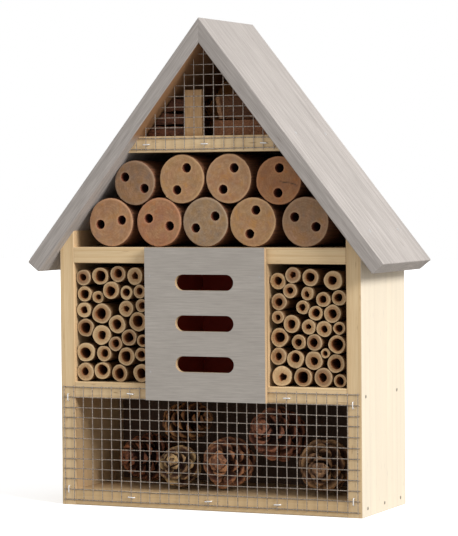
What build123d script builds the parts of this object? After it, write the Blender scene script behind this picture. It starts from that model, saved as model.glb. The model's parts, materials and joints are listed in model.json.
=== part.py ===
from build123d import *
import math
import os

# An insect hotel: a small pine house with a pitched roof. It has a cone room at the bottom, reeds on both
# sides of a slotted front plate, nine drilled logs above them, and an attic behind wire mesh.
# The origin is the centre of the body's footprint on its underside. The front looks along -Y, +Z is up.

os.makedirs("parts", exist_ok=True)

# ---- Body --------------------------------------------------------------------------------------------
body_width = 264.0
body_depth = 97.0
side_thickness = 13.0
floor_thickness = 13.0
shelf_thickness = 13.0
back_thickness = 9.0
divider_thickness = 9.0
cone_room_height = 75.0
reed_room_height = 97.0
bay_wall_height = 13.3  # inner edge of a side panel's bevelled top, above the upper shelf
edge_round = 0.8

# ---- Roof --------------------------------------------------------------------------------------------
roof_pitch = 51.4  # degrees from level
roof_thickness = 12.5
roof_front_overhang = 12.5
eave_reach = 13.5  # from a side panel out to the soffit's lower edge

# ---- Front plate -------------------------------------------------------------------------------------
plate_width = 105.0
plate_thickness = 4.0
slot_length = 51.0
slot_height = 12.8
slot_spacing = 32.7
slot_rise = 0.9  # middle slot above the middle of the reed room

# ---- Wire mesh ---------------------------------------------------------------------------------------
wire = 0.8
mesh_pitch_across = 8.57
mesh_pitch_up = 8.38
mesh_side_margin = 3.2
mesh_foot_margin = 4.3
mesh_stub = 1.6  # wire end past the last crossing
attic_mesh_shift = -0.7
attic_mesh_rise = 2.7  # lowest attic wire above the attic shelf's underside

# ---- Filling -----------------------------------------------------------------------------------------
log_setback = 2.0
log_gap = 0.2  # between a log and what carries it
log_row_gap = 2.4  # between neighbours in the lower row
log_soffit_gap = 2.5
log_nudges = (-1.0, -0.2, -1.7, -2.9, -0.4)
log_bore = 7.0
log_bore_depth = 60.0
log_bore_spacing = 19.6
log_bore_turns = (10, -18, 29, 74, -23, -28, 64, 60, 86)  # degrees, lower row first
attic_clearance = 1.3
reed_setback = 2.5
reed_gap = 0.15
reed_bore_depth = 60.0

# ---- Fasteners ---------------------------------------------------------------------------------------
nail_length = 32.0
roof_nail_length = 20.0
nail_inset_front = 11.0
nail_inset_back = 12.0
shelf_nail_inset_front = 8.0
shelf_nail_inset_back = 19.0
roof_nail_inset_back = 23.0
brad_inset = 10.0
nail_shank = 1.6
nail_head = 2.8
nail_head_thickness = 0.6
nail_roof_gap = 1.0
brad_length = 16.0
brad_shank = 1.1
brad_head = 1.9
staple_crown = 6.4
staple_leg = 6.0
staple_thickness = 0.7
staple_breadth = 1.0
screw_length = 7.0
screw_shank = 3.0
screw_head = 5.8
screw_head_depth = 1.4

# ---- Hanger ------------------------------------------------------------------------------------------
hanger_width = 18.0
hanger_height = 50.0
hanger_thickness = 1.5
hanger_rise = 26.0  # its centre above the attic shelf
hanger_hole = 9.0
hanger_slot = 4.2
hanger_slot_reach = 10.0
hanger_screw_reach = 20.0
hanger_hole_drop = 4.0  # the round hole below the plate's middle
hanger_corner = 4.0
pocket_width = 13.0
pocket_depth = 5.0  # room for a wall screw's head behind the hanger plate

# ---- Levels and depths that follow -------------------------------------------------------------------
slope = math.tan(math.radians(roof_pitch))
roof_sin = math.sin(math.radians(roof_pitch))
roof_cos = math.cos(math.radians(roof_pitch))
half_width = body_width / 2
inner_half = half_width - side_thickness
front = -body_depth / 2
back = body_depth / 2
room_back = back - back_thickness
floor_top = floor_thickness
lower_shelf_bottom = floor_top + cone_room_height
lower_shelf_top = lower_shelf_bottom + shelf_thickness
upper_shelf_bottom = lower_shelf_top + reed_room_height
upper_shelf_top = upper_shelf_bottom + shelf_thickness
wall_top = upper_shelf_top + bay_wall_height
inner_apex = wall_top + inner_half * slope
divider_outer = plate_width / 2
divider_inner = divider_outer - divider_thickness


def soffit_height(x):
    """Height of the roof's underside at a place across."""
    return inner_apex - abs(x) * slope


def soffit_reach(z):
    """How far out from the middle the roof's underside is at a height."""
    return (inner_apex - z) / slope


def soffit_clearance(x, z):
    """Square distance from a point to the roof's underside."""
    return (soffit_height(x) - z) * roof_cos


def save(piece, name):
    """Label a finished piece and write its file."""
    piece.label = name
    export_step(piece, f"parts/{name}.step")


def upright_prism(points, near, far):
    """A solid whose outline is given as (across, up) points, running from depth near to depth far."""
    with BuildPart() as piece:
        with BuildSketch(Plane.XZ.offset(-far)):
            with BuildLine():
                Polyline(*points, close=True)
            make_face()
        extrude(amount=far - near)
    return piece.part


def cut(body, *groups):
    """The body with the room that other pieces take up cut out of it."""
    with BuildPart() as piece:
        add(body)
        for group in groups:
            add(group, mode=Mode.SUBTRACT)
    return piece.part


def soften_front(body):
    """Round the long arrises of a board's front face a little."""
    with BuildPart() as piece:
        add(body)
        arrises = piece.edges().filter_by_position(Axis.Y, front, front)
        longest = max(edge.length for edge in arrises)
        fillet([edge for edge in arrises if edge.length > longest / 2], edge_round)
    return piece.part


# ---- Fasteners: each group is built first, so that the boards can be cut to it -----------------------
def driven(planes, length, shank, head, head_thickness):
    """Nails that stand flush in a surface. Each plane lies on the surface and faces out of it."""
    with BuildPart() as group:
        for plane in planes:
            with BuildSketch(plane):
                Circle(head / 2)
            extrude(amount=-head_thickness)
            with BuildSketch(plane.offset(-head_thickness)):
                Circle(shank / 2)
            extrude(amount=-(length - head_thickness))
    return group.part


def side_nail_planes():
    """Through each side panel into the bottom board and both shelves."""
    shelf_depths = (front + shelf_nail_inset_front, back - shelf_nail_inset_back)
    below_roof = soffit_height(half_width) - nail_head / 2 - nail_roof_gap
    nail_rows = (
        (floor_top / 2, (front + nail_inset_front, 0, back - nail_inset_back)),
        (lower_shelf_top - shelf_thickness / 2, shelf_depths),
        (min(upper_shelf_top - shelf_thickness / 2, below_roof), shelf_depths),
    )
    planes = []
    for side in (-1, 1):
        for level, depths in nail_rows:
            for depth in depths:
                planes.append(Plane((side * half_width, depth, level), x_dir=(0, 1, 0), z_dir=(side, 0, 0)))
    return planes


def roof_nail_planes():
    """Square through each roof board into the wall's top and the attic shelf's end."""
    seats = ((half_width - side_thickness / 2), soffit_reach(attic_shelf_bottom + shelf_thickness / 2))
    planes = []
    for side in (-1, 1):
        for seat in seats:
            for depth in (front + nail_inset_front, back - roof_nail_inset_back):
                x = side * (seat + roof_thickness * roof_sin)
                z = soffit_height(seat) + roof_thickness * roof_cos
                planes.append(Plane((x, depth, z), x_dir=(0, 1, 0), z_dir=(side * roof_sin, 0, roof_cos)))
    return planes


def back_nail_planes():
    """Through the back panel into the rear edges of the shelves."""
    places = (
        (inner_half * 2 / 3, lower_shelf_top - shelf_thickness / 2),
        (inner_half * 2 / 3, upper_shelf_top - shelf_thickness / 2),
        (soffit_reach(attic_shelf_top) / 2, attic_shelf_top - shelf_thickness / 2),
    )
    return [
        Plane((side * x, back, z), x_dir=(-1, 0, 0), z_dir=(0, 1, 0)) for side in (-1, 1) for x, z in places
    ]


def plate_brad_planes():
    """Through the front plate's corners into the dividers."""
    x = (divider_inner + divider_outer) / 2
    levels = (lower_shelf_top + brad_inset, upper_shelf_bottom - brad_inset)
    return [
        Plane((side * x, plate_front, level), x_dir=(1, 0, 0), z_dir=(0, -1, 0))
        for side in (-1, 1)
        for level in levels
    ]


def staples(places, crown_back):
    """Staples over a mesh. Each place is (across, up, turn): a turn of 90 degrees stands the crown up."""
    leg_end = front + staple_leg
    leg_middle = (staple_crown - staple_breadth) / 2
    with BuildPart() as group:
        for x, z, turn in places:
            along = (math.cos(math.radians(turn)), 0, math.sin(math.radians(turn)))
            crown_plane = Plane((x, crown_back, z), x_dir=along, z_dir=(0, -1, 0))
            with BuildSketch(crown_plane):
                Rectangle(staple_crown, staple_breadth)
            extrude(amount=staple_thickness)
            with BuildSketch(crown_plane):
                with Locations((-leg_middle, 0), (leg_middle, 0)):
                    Rectangle(staple_breadth, staple_breadth)
            extrude(amount=crown_back - leg_end)
    return group.part


# ---- Wire mesh ---------------------------------------------------------------------------------------
cross_wire_depth = front - wire / 2  # the wires that run across lie on the wood
upright_wire_depth = front - 1.5 * wire  # the upright wires lie on those
mesh_front = front - 2 * wire
plate_back = mesh_front - 0.05
plate_front = plate_back - plate_thickness

lower_columns = int((body_width - 2 * mesh_side_margin) / mesh_pitch_across) + 1
lower_rows = round((lower_shelf_top - 2 * mesh_foot_margin) / mesh_pitch_up) + 1


def lower_column(index):
    """Place across of an upright wire of the lower mesh."""
    return (index - (lower_columns - 1) / 2) * mesh_pitch_across


def lower_row(index):
    """Height of a cross wire of the lower mesh."""
    return mesh_foot_margin + index * mesh_pitch_up


def mesh(columns, rows):
    """Wires as straight rods. A column is (across, low, high), and a row is (up, left, right)."""
    with BuildPart() as wires:
        for x, low, high in columns:
            with BuildSketch(Plane.XY.offset(low)):
                with Locations((x, upright_wire_depth)):
                    Circle(wire / 2)
            extrude(amount=high - low)
        for z, left, right in rows:
            with BuildSketch(Plane.YZ.offset(left)):
                with Locations((cross_wire_depth, z)):
                    Circle(wire / 2)
            extrude(amount=right - left)
    return wires.part


def lower_mesh():
    """The mesh over the cone room, stapled to the front edges of the body."""
    low = lower_row(0) - mesh_stub
    high = lower_row(lower_rows - 1) + mesh_stub
    reach = lower_column(lower_columns - 1) + mesh_stub
    columns = [(lower_column(i), low, high) for i in range(lower_columns)]
    rows = [(lower_row(i), -reach, reach) for i in range(lower_rows)]
    return mesh(columns, rows)


def attic_mesh():
    """The triangular mesh over the attic, tucked under the roof's front overhang."""
    low = attic_row(0) - mesh_stub
    columns = []
    for x in attic_columns:
        columns.append((x, low, soffit_height(abs(x) + wire / 2) - 0.2))
    rows = []
    for z in attic_rows:
        reach = soffit_reach(z + wire / 2) - 0.2
        rows.append((z, -reach, reach))
    return mesh(columns, rows)


# ---- Logs --------------------------------------------------------------------------------------------
def log_rows():
    """(across, up, radius) of each log: a row on the shelf, and a row in its valleys that clears the roof."""
    count = len(log_nudges)
    steps = count - 1
    room = (inner_apex - upper_shelf_top) / slope - steps / 2 * log_row_gap - log_soffit_gap / roof_sin
    radius = room / (steps + 1 / roof_sin + 1 / slope)
    lower = []
    for index, nudge in enumerate(log_nudges):
        x = (index - steps / 2) * (2 * radius + log_row_gap) + nudge
        lower.append((x, upper_shelf_top + radius + log_gap, radius))
    upper = []
    for (x1, z1, r1), (x2, z2, r2) in zip(lower, lower[1:]):
        x = (x1 + x2) / 2
        top_radius = radius
        z = z1 + math.sqrt((r1 + top_radius + log_gap) ** 2 - (x2 - x1) ** 2 / 4)
        while soffit_clearance(x, z) < top_radius + log_gap:
            top_radius -= 0.1
            z = z1 + math.sqrt((r1 + top_radius + log_gap) ** 2 - (x2 - x1) ** 2 / 4)
        upper.append((x, z, top_radius))
    return lower + upper


def log(x, z, radius, turn):
    """A log with two holes drilled into its front end."""
    with BuildPart() as piece:
        with BuildSketch(Plane.XZ.offset(-room_back)):
            with Locations((x, z)):
                Circle(radius)
        extrude(amount=room_back - front - log_setback)
        front_end = Plane((x, front + log_setback, z), x_dir=(1, 0, 0), z_dir=(0, -1, 0))
        with BuildSketch(front_end):
            with PolarLocations(log_bore_spacing / 2, 2, start_angle=turn):
                Circle(log_bore / 2)
        extrude(amount=-log_bore_depth, mode=Mode.SUBTRACT)
    return piece.part


logs = log_rows()
attic_shelf_bottom = max(z + radius for x, z, radius in logs) + attic_clearance
attic_shelf_top = attic_shelf_bottom + shelf_thickness

attic_columns = []
for step in range(-30, 31):
    place = attic_mesh_shift + step * mesh_pitch_across
    if soffit_height(place) > attic_shelf_bottom + mesh_pitch_up + mesh_stub:
        attic_columns.append(place)


def attic_row(index):
    """Height of a cross wire of the attic mesh."""
    return attic_shelf_bottom + attic_mesh_rise + index * mesh_pitch_up


attic_rows = [attic_row(i) for i in range(40) if soffit_reach(attic_row(i)) > mesh_pitch_across / 2]

# ---- Reeds: (across, outer diameter, bore) from the shelf up, for a compartment of the nominal size ---
reed_bundle_width = 66.5
reed_bundle_height = 97.0
reed_bundle_middle = 85.75
left_reeds = (
    ((-80.5, 14.5, 8.5), (-112.0, 15.5, 6.5), (-96.0, 14.5, 8.5), (-60.5, 15.5, 8.0)),
    ((-74.0, 15.5, 8.5), (-60.5, 11.5, 6.0), (-94.0, 13.5, 6.5), (-110.5, 16.5, 9.0)),
    ((-83.5, 12.0, 6.5), (-59.0, 10.5, 6.0), (-71.5, 14.0, 8.0), (-96.0, 16.5, 7.0)),
    ((-111.5, 15.5, 9.0), (-82.0, 15.5, 8.0), (-63.5, 16.0, 9.0), (-112.0, 13.0, 6.0)),
    ((-96.0, 17.0, 9.0), (-74.0, 13.5, 5.0), (-60.0, 11.0, 5.5), (-111.5, 13.0, 7.5)),
    ((-99.5, 10.5, 4.5), (-61.5, 11.5, 5.5), (-73.5, 12.0, 6.5), (-87.0, 15.0, 8.0)),
    ((-112.0, 13.5, 6.0), (-97.0, 15.0, 9.0), (-65.5, 14.5, 5.5), (-81.0, 13.5, 7.0)),
)
right_reeds = (
    ((112.0, 11.0, 6.5), (98.0, 15.5, 7.0), (63.0, 16.5, 6.0), (81.0, 15.5, 9.5)),
    ((108.5, 15.0, 8.5), (90.0, 15.0, 6.5), (74.5, 15.0, 7.5), (60.0, 14.0, 6.0)),
    ((100.0, 8.0, 4.0), (110.0, 15.0, 9.5), (91.0, 13.5, 7.0), (77.5, 12.5, 6.0)),
    ((61.0, 15.5, 8.5), (99.0, 13.0, 5.5), (112.0, 10.5, 6.0), (86.0, 12.5, 4.5), (71.5, 14.5, 7.0)),
    ((60.0, 10.5, 4.5), (92.0, 12.0, 6.5), (106.0, 14.5, 7.0), (81.0, 11.5, 5.5)),
    ((61.0, 13.5, 6.5), (70.5, 12.0, 5.5), (111.5, 12.5, 6.5), (85.0, 11.5, 4.5), (98.5, 12.0, 6.0)),
    ((60.0, 13.5, 6.5), (88.0, 14.0, 7.5), (107.0, 16.0, 7.0), (73.0, 13.0, 5.0)),
)


def settle(rows, side, fit):
    """Drop each reed on the shelf or on those below it. Gives rows of (across, up, radius, bore radius)."""
    near_wall = divider_outer if side > 0 else -inner_half
    far_wall = inner_half if side > 0 else -divider_outer
    middle = (near_wall + far_wall) / 2
    nominal_middle = side * reed_bundle_middle
    placed = []
    settled_rows = []
    for row in rows:
        settled = []
        for across, outer, bore in row:
            radius = outer / 2 * fit
            x = middle + (across - nominal_middle) * fit
            x = min(max(x, near_wall + radius + reed_gap), far_wall - radius - reed_gap)
            z = lower_shelf_top + radius + reed_gap
            for other_x, other_z, other_radius in placed:
                reach = radius + other_radius + reed_gap
                if abs(x - other_x) < reach:
                    z = max(z, other_z + math.sqrt(reach**2 - (x - other_x) ** 2))
            placed.append((x, z, radius))
            settled.append((x, z, radius, bore / 2 * fit))
        settled_rows.append(settled)
    return settled_rows


def reed_bundle(rows, side):
    """The settled rows, drawn smaller until the highest reed clears the shelf above."""
    width = inner_half - divider_outer
    fit = min(width / reed_bundle_width, reed_room_height / reed_bundle_height)
    settled = settle(rows, side, fit)
    while max(z + radius for row in settled for x, z, radius, bore in row) > upper_shelf_bottom - reed_gap:
        fit -= 0.005
        settled = settle(rows, side, fit)
    return settled


def reed_row(row):
    """The reeds of one row as separate tubes, closed at the back by a node of the stem."""
    with BuildPart() as reeds:
        for x, z, radius, bore_radius in row:
            with BuildSketch(Plane.XZ.offset(-room_back)):
                with Locations((x, z)):
                    Circle(radius)
            extrude(amount=room_back - front - reed_setback)
        for x, z, radius, bore_radius in row:
            with BuildSketch(Plane.XZ.offset(-(front + reed_setback))):
                with Locations((x, z)):
                    Circle(bore_radius)
            extrude(amount=-reed_bore_depth, mode=Mode.SUBTRACT)
    return reeds.part


# ---- Cones: (middle across, behind the front edge, above the bottom board), radius, length, direction --
cone_room_nominal = (238.0, 88.0, 75.0)
cones = (
    ((-38.0, 42.0, 53.6), 18.5, 48.0, (1.0, -0.35, 0.25)),
    ((-76.0, 50.0, 22.9), 22.5, 50.0, (-0.5, -1.0, 0.1)),
    ((-37.5, 26.0, 19.5), 18.5, 38.0, (0.1, -1.0, 0.35)),
    ((4.5, 30.0, 23.3), 23.0, 44.0, (0.05, -1.0, 0.12)),
    ((45.5, 36.0, 47.0), 24.0, 52.0, (-0.15, -1.0, 0.3)),
    ((88.0, 31.0, 23.8), 23.5, 48.0, (0.2, -1.0, -0.05)),
)


def cone(middle, radius, length, direction):
    """A pine cone's closed outline: a flat foot, a full belly and a blunt tip."""
    fit = min(2 * inner_half / cone_room_nominal[0], (room_back - front) / cone_room_nominal[1],
              cone_room_height / cone_room_nominal[2])
    axis = Vector(*direction).normalized()
    centre = Vector(middle[0] * fit, front + middle[1] * fit, floor_top + middle[2] * fit)
    foot = centre - axis * (0.42 * length * fit)
    across = axis.cross(Vector(0, 0, 1)).normalized()
    plane = Plane(foot, x_dir=across, z_dir=across.cross(axis))
    r = radius * fit
    tall = length * fit
    with BuildPart() as piece:
        with BuildSketch(plane):
            with BuildLine():
                Line((0, 0), (0.45 * r, 0))
                ThreePointArc((0.45 * r, 0), (0.87 * r, 0.16 * tall), (r, 0.42 * tall))
                ThreePointArc((r, 0.42 * tall), (0.78 * r, 0.74 * tall), (0.2 * r, tall))
                Line((0.2 * r, tall), (0, tall))
                Line((0, tall), (0, 0))
            make_face()
        revolve(axis=Axis(foot, axis))
    return piece.part


# ---- Attic filling -----------------------------------------------------------------------------------
attic_fit_height = 73.221216  # the sizes below are for an attic this high
attic_fit_reach = 58.451729  # and this far from its middle to the roof
across_fit = soffit_reach(attic_shelf_top) / attic_fit_reach
up_fit = (inner_apex - attic_shelf_top) / attic_fit_height
slat_left = -20.0 * across_fit
slat_right = -5.0 * across_fit
slat_height = 37.0 * up_fit
slat_thickness = 4.0
attic_gap = 0.3
slat_setback = 4.0
chip_setback = 8.0
chip_slat_gap = 2.0
chip_heights = (9.0 * up_fit, 10.0 * up_fit, 11.0 * up_fit)
chip_lengths = (58.0, 50.0, 44.0)
offcut_left = 1.0 * across_fit
offcut_height = 12.5 * up_fit
offcut_setback = 12.0
offcut_length = 58.0
leaning_height = 24.0 * up_fit
leaning_setback = 14.0
leaning_length = 48.0


def attic_slat():
    """An upright slat that stands on the attic shelf."""
    points = [
        (slat_left, attic_shelf_top),
        (slat_right, attic_shelf_top),
        (slat_right, attic_shelf_top + slat_height),
        (slat_left, attic_shelf_top + slat_height),
    ]
    return upright_prism(points, front + slat_setback, front + slat_setback + slat_thickness)


def bark_chips():
    """Pieces of bark stacked against the left slope."""
    with BuildPart() as chips:
        low = attic_shelf_top
        for height, length in zip(chip_heights, chip_lengths):
            high = low + height
            points = [
                (-soffit_reach(low) + 1, low),
                (slat_left - chip_slat_gap, low),
                (slat_left - chip_slat_gap, high - 1),
                (-soffit_reach(high) + 1, high),
            ]
            add(upright_prism(points, front + chip_setback, front + chip_setback + length))
            low = high + attic_gap
    return chips.part


def attic_offcut():
    """A sawn block that lies on the attic shelf."""
    high = attic_shelf_top + offcut_height
    points = [
        (offcut_left, attic_shelf_top),
        (soffit_reach(attic_shelf_top) - 2, attic_shelf_top),
        (soffit_reach(high) - 1, high),
        (offcut_left, high),
    ]
    return upright_prism(points, front + offcut_setback, front + offcut_setback + offcut_length)


def leaning_offcut():
    """A second block on top of the first, cut along the slope."""
    low = attic_shelf_top + offcut_height + attic_gap
    high = low + leaning_height
    points = [
        (offcut_left + 4, low),
        (soffit_reach(low) - 1, low),
        (soffit_reach(high) - 1, high),
        (offcut_left + 1, high - 6),
    ]
    return upright_prism(points, front + leaning_setback, front + leaning_setback + leaning_length)


# ---- Hanger ------------------------------------------------------------------------------------------
hanger_level = attic_shelf_top + hanger_rise


def hanger_screw_planes():
    """Above and below the keyhole, on the back of the hanger plate."""
    return [
        Plane((0, back, hanger_level + reach), x_dir=(-1, 0, 0), z_dir=(0, 1, 0))
        for reach in (-hanger_screw_reach, hanger_screw_reach)
    ]


def hanger_screws():
    """Countersunk screws, flush with the hanger plate."""
    with BuildPart() as group:
        for plane in hanger_screw_planes():
            with BuildSketch(plane):
                Circle(screw_head / 2)
            with BuildSketch(plane.offset(-screw_head_depth)):
                Circle(screw_shank / 2)
            loft()
            with BuildSketch(plane.offset(-screw_head_depth)):
                Circle(screw_shank / 2)
            extrude(amount=-(screw_length - screw_head_depth))
    return group.part


def hanger_blank():
    """The hanger plate's outline, flush in the back panel."""
    with BuildPart() as blank:
        with BuildSketch(Plane((0, back, hanger_level), x_dir=(-1, 0, 0), z_dir=(0, 1, 0))):
            RectangleRounded(hanger_width, hanger_height, hanger_corner)
        extrude(amount=-hanger_thickness)
    return blank.part


def keyhole(hole, slot, depth):
    """A round hole with a slot above it, cut inwards from the back."""
    hole_level = hanger_level - hanger_hole_drop
    with BuildPart() as opening:
        with BuildSketch(Plane((0, back, hole_level), x_dir=(-1, 0, 0), z_dir=(0, 1, 0))):
            Circle(hole / 2)
            with Locations((0, hanger_slot_reach / 2)):
                Rectangle(slot, hanger_slot_reach)
            with Locations((0, hanger_slot_reach)):
                Circle(slot / 2)
        extrude(amount=-depth)
    return opening.part


# ---- Build and write: fasteners ----------------------------------------------------------------------
side_nails = driven(side_nail_planes(), nail_length, nail_shank, nail_head, nail_head_thickness)
roof_nails = driven(roof_nail_planes(), roof_nail_length, nail_shank, nail_head, nail_head_thickness)
back_nails = driven(back_nail_planes(), nail_length, nail_shank, nail_head, nail_head_thickness)
plate_brads = driven(plate_brad_planes(), brad_length, brad_shank, brad_head, nail_head_thickness)
last = lower_columns - 1
top_gap = lower_rows - 1.5
lower_staple_places = (
    (lower_column(0.4), lower_row(lower_rows - 2), 90),
    (lower_column(0.4), lower_row(1), 90),
    (lower_column(last - 0.45), lower_row(lower_rows - 2), 90),
    (lower_column(last - 0.45), lower_row(1), 90),
    (lower_column(7), lower_row(top_gap), 0),
    (lower_column(last - 7), lower_row(top_gap), 0),
    (lower_column(7), lower_row(0.45), 0),
    (lower_column(15), lower_row(0.4), 0),
    (lower_column(22), lower_row(0.4), 0),
)
lower_mesh_staples = staples(lower_staple_places, mesh_front)
attic_middle = len(attic_columns) // 2
attic_staple_places = [(attic_columns[i], attic_row(0.45), 0) for i in (1, attic_middle, -2)]
attic_mesh_staples = staples(attic_staple_places, mesh_front)
save(side_nails, "side_nails")
save(roof_nails, "roof_nails")
save(back_nails, "back_nails")
save(plate_brads, "plate_brads")
save(lower_mesh_staples, "lower_mesh_staples")
save(attic_mesh_staples, "attic_mesh_staples")
save(lower_mesh(), "lower_mesh")
save(attic_mesh(), "attic_mesh")

# ---- Build and write: body ---------------------------------------------------------------------------
for side, name in ((-1, "left"), (1, "right")):
    panel = upright_prism(
        [
            (side * inner_half, 0),
            (side * half_width, 0),
            (side * half_width, soffit_height(half_width)),
            (side * inner_half, wall_top),
        ],
        front,
        back,
    )
    save(cut(soften_front(panel), side_nails, roof_nails, lower_mesh_staples), f"side_panel_{name}")

    slope_points = [
        (0, inner_apex),
        (0, inner_apex + roof_thickness / roof_cos),
        (
            side * (half_width + eave_reach + roof_thickness * roof_sin),
            soffit_height(half_width + eave_reach) + roof_thickness * roof_cos,
        ),
        (side * (half_width + eave_reach), soffit_height(half_width + eave_reach)),
    ]
    with BuildPart() as roof_board:
        add(upright_prism(slope_points, front - roof_front_overhang, back))
        fillet(roof_board.edges().filter_by(lambda edge: abs(edge.center().X) > 1), edge_round)
    save(cut(roof_board.part, roof_nails), f"roof_panel_{name}")

    divider = upright_prism(
        [
            (side * divider_inner, lower_shelf_top),
            (side * divider_outer, lower_shelf_top),
            (side * divider_outer, upper_shelf_bottom),
            (side * divider_inner, upper_shelf_bottom),
        ],
        front,
        room_back,
    )
    save(cut(divider, plate_brads), f"divider_{name}")


def shelf(low, high, near, far):
    """A level board between the side panels."""
    points = [(-inner_half, low), (inner_half, low), (inner_half, high), (-inner_half, high)]
    return soften_front(upright_prism(points, near, far))


save(cut(shelf(0, floor_top, front, back), side_nails, lower_mesh_staples), "bottom_board")
lower_shelf = shelf(lower_shelf_bottom, lower_shelf_top, front, room_back)
save(cut(lower_shelf, side_nails, back_nails, lower_mesh_staples), "lower_shelf")
upper_shelf = shelf(upper_shelf_bottom, upper_shelf_top, front, room_back)
save(cut(upper_shelf, side_nails, back_nails), "upper_shelf")

attic_points = [
    (-soffit_reach(attic_shelf_bottom), attic_shelf_bottom),
    (soffit_reach(attic_shelf_bottom), attic_shelf_bottom),
    (soffit_reach(attic_shelf_top), attic_shelf_top),
    (-soffit_reach(attic_shelf_top), attic_shelf_top),
]
attic_shelf = soften_front(upright_prism(attic_points, front, room_back))
save(cut(attic_shelf, roof_nails, back_nails, attic_mesh_staples), "attic_shelf")

screws = hanger_screws()
hanger_slots = keyhole(hanger_hole, hanger_slot, hanger_thickness)
head_pocket = keyhole(pocket_width, pocket_width, hanger_thickness + pocket_depth)
back_points = [
    (-inner_half, floor_top),
    (inner_half, floor_top),
    (inner_half, wall_top),
    (0, inner_apex),
    (-inner_half, wall_top),
]
back_panel = upright_prism(back_points, room_back, back)
save(cut(back_panel, back_nails, hanger_blank(), head_pocket, screws), "back_panel")
save(cut(hanger_blank(), hanger_slots, screws), "hanger_plate")
save(screws, "hanger_screws")

# ---- Build and write: front plate --------------------------------------------------------------------
slot_middle = (lower_shelf_top + upper_shelf_bottom) / 2 + slot_rise
with BuildPart() as plate:
    with BuildSketch(Plane.XZ.offset(-plate_back)):
        with Locations((0, (lower_shelf_bottom + upper_shelf_top) / 2)):
            Rectangle(plate_width, upper_shelf_top - lower_shelf_bottom)
        with Locations((0, slot_middle)):
            with GridLocations(0, slot_spacing, 1, 3):
                SlotOverall(slot_length, slot_height, mode=Mode.SUBTRACT)
    extrude(amount=plate_thickness)
save(cut(plate.part, plate_brads), "front_plate")

# ---- Build and write: filling ------------------------------------------------------------------------
for number, ((x, z, radius), turn) in enumerate(zip(logs, log_bore_turns), start=1):
    save(log(x, z, radius, turn), f"log_{number}")
for side, name, rows in ((-1, "left", left_reeds), (1, "right", right_reeds)):
    for number, row in enumerate(reed_bundle(rows, side), start=1):
        save(reed_row(row), f"reeds_{name}_{number}")
for number, (middle, radius, length, direction) in enumerate(cones, start=1):
    save(cone(middle, radius, length, direction), f"cone_{number}")
save(attic_slat(), "attic_slat")
save(bark_chips(), "bark_chips")
save(attic_offcut(), "attic_offcut")
save(leaning_offcut(), "leaning_offcut")
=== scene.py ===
# %% [markdown]
# # An insect hotel in pine
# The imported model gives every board, log, reed and nail its true place. It is loaded once and never moved.
# Everything below adds what a plain CAD solid lacks: rough cut ends, open cone scales, bent wire, and wood
# that looks like wood. All sizes are in metres, because that is what Blender uses.


# %% Load the frame
import json
import math

import bpy
import numpy as np
from mathutils import Matrix, Vector
from mathutils.geometry import delaunay_2d_cdt


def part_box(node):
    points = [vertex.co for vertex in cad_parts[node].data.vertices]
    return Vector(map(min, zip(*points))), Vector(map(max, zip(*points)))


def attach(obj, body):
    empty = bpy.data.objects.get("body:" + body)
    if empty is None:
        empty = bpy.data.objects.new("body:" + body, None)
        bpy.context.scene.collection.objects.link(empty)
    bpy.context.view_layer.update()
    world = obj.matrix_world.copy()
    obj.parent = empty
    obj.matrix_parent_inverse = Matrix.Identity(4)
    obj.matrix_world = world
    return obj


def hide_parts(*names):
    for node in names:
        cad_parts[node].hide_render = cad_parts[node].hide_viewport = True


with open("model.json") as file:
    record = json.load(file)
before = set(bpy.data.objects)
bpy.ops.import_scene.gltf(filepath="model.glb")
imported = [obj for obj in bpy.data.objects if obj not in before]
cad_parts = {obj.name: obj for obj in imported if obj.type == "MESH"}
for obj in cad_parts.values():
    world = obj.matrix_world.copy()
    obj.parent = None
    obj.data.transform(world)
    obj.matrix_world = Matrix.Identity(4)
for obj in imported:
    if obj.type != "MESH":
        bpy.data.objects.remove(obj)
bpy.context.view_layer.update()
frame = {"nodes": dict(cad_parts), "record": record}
MM = 0.001
nodes = frame["nodes"]
record = frame["record"]

# %% [markdown]
# ## Camera, light and floor
# The house is seen from a little right of its front, almost level, with a long lens, so upright lines stay
# parallel. A camera in Blender looks along its own -Z. Its matrix is built from three directions: right, up
# and back. The key light is a broad sun low on the right, and a pale sky fills the rest. A sun lights the
# whole floor alike, so the floor fades into the sky. Sky and floor show white but light the house less than
# they show, as black card beside a white table would, which keeps the rooms behind the mesh dark. The floor
# also glows a little where it is seen, so only a faint shadow is left under the house.


# %% Camera
CAMERA_TURN = math.radians(23.97)
CAMERA_RISE = math.radians(1.91)
CAMERA_ROLL = math.radians(-0.49)
CAMERA_PLACE = Vector((0.8393, -1.8924, 0.2620))
LENS = 170.6
SENSOR_WIDTH = 36
FAR_END_OF_VIEW = 20

back = Vector((
    math.sin(CAMERA_TURN) * math.cos(CAMERA_RISE),
    -math.cos(CAMERA_TURN) * math.cos(CAMERA_RISE),
    math.sin(CAMERA_RISE),
))
level_right = Vector((math.cos(CAMERA_TURN), math.sin(CAMERA_TURN), 0))
level_up = back.cross(level_right)
right = level_right * math.cos(CAMERA_ROLL) + level_up * math.sin(CAMERA_ROLL)
up = level_up * math.cos(CAMERA_ROLL) - level_right * math.sin(CAMERA_ROLL)
turn = Matrix((right, up, back)).transposed().to_4x4()

camera_data = bpy.data.cameras.new("camera")
camera_data.lens = LENS
camera_data.sensor_width = SENSOR_WIDTH
camera_data.clip_end = FAR_END_OF_VIEW
camera = bpy.data.objects.new("camera", camera_data)
camera.matrix_world = Matrix.Translation(CAMERA_PLACE) @ turn
bpy.context.scene.collection.objects.link(camera)
bpy.context.scene.camera = camera
print("camera at", tuple(round(v, 3) for v in CAMERA_PLACE))


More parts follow.
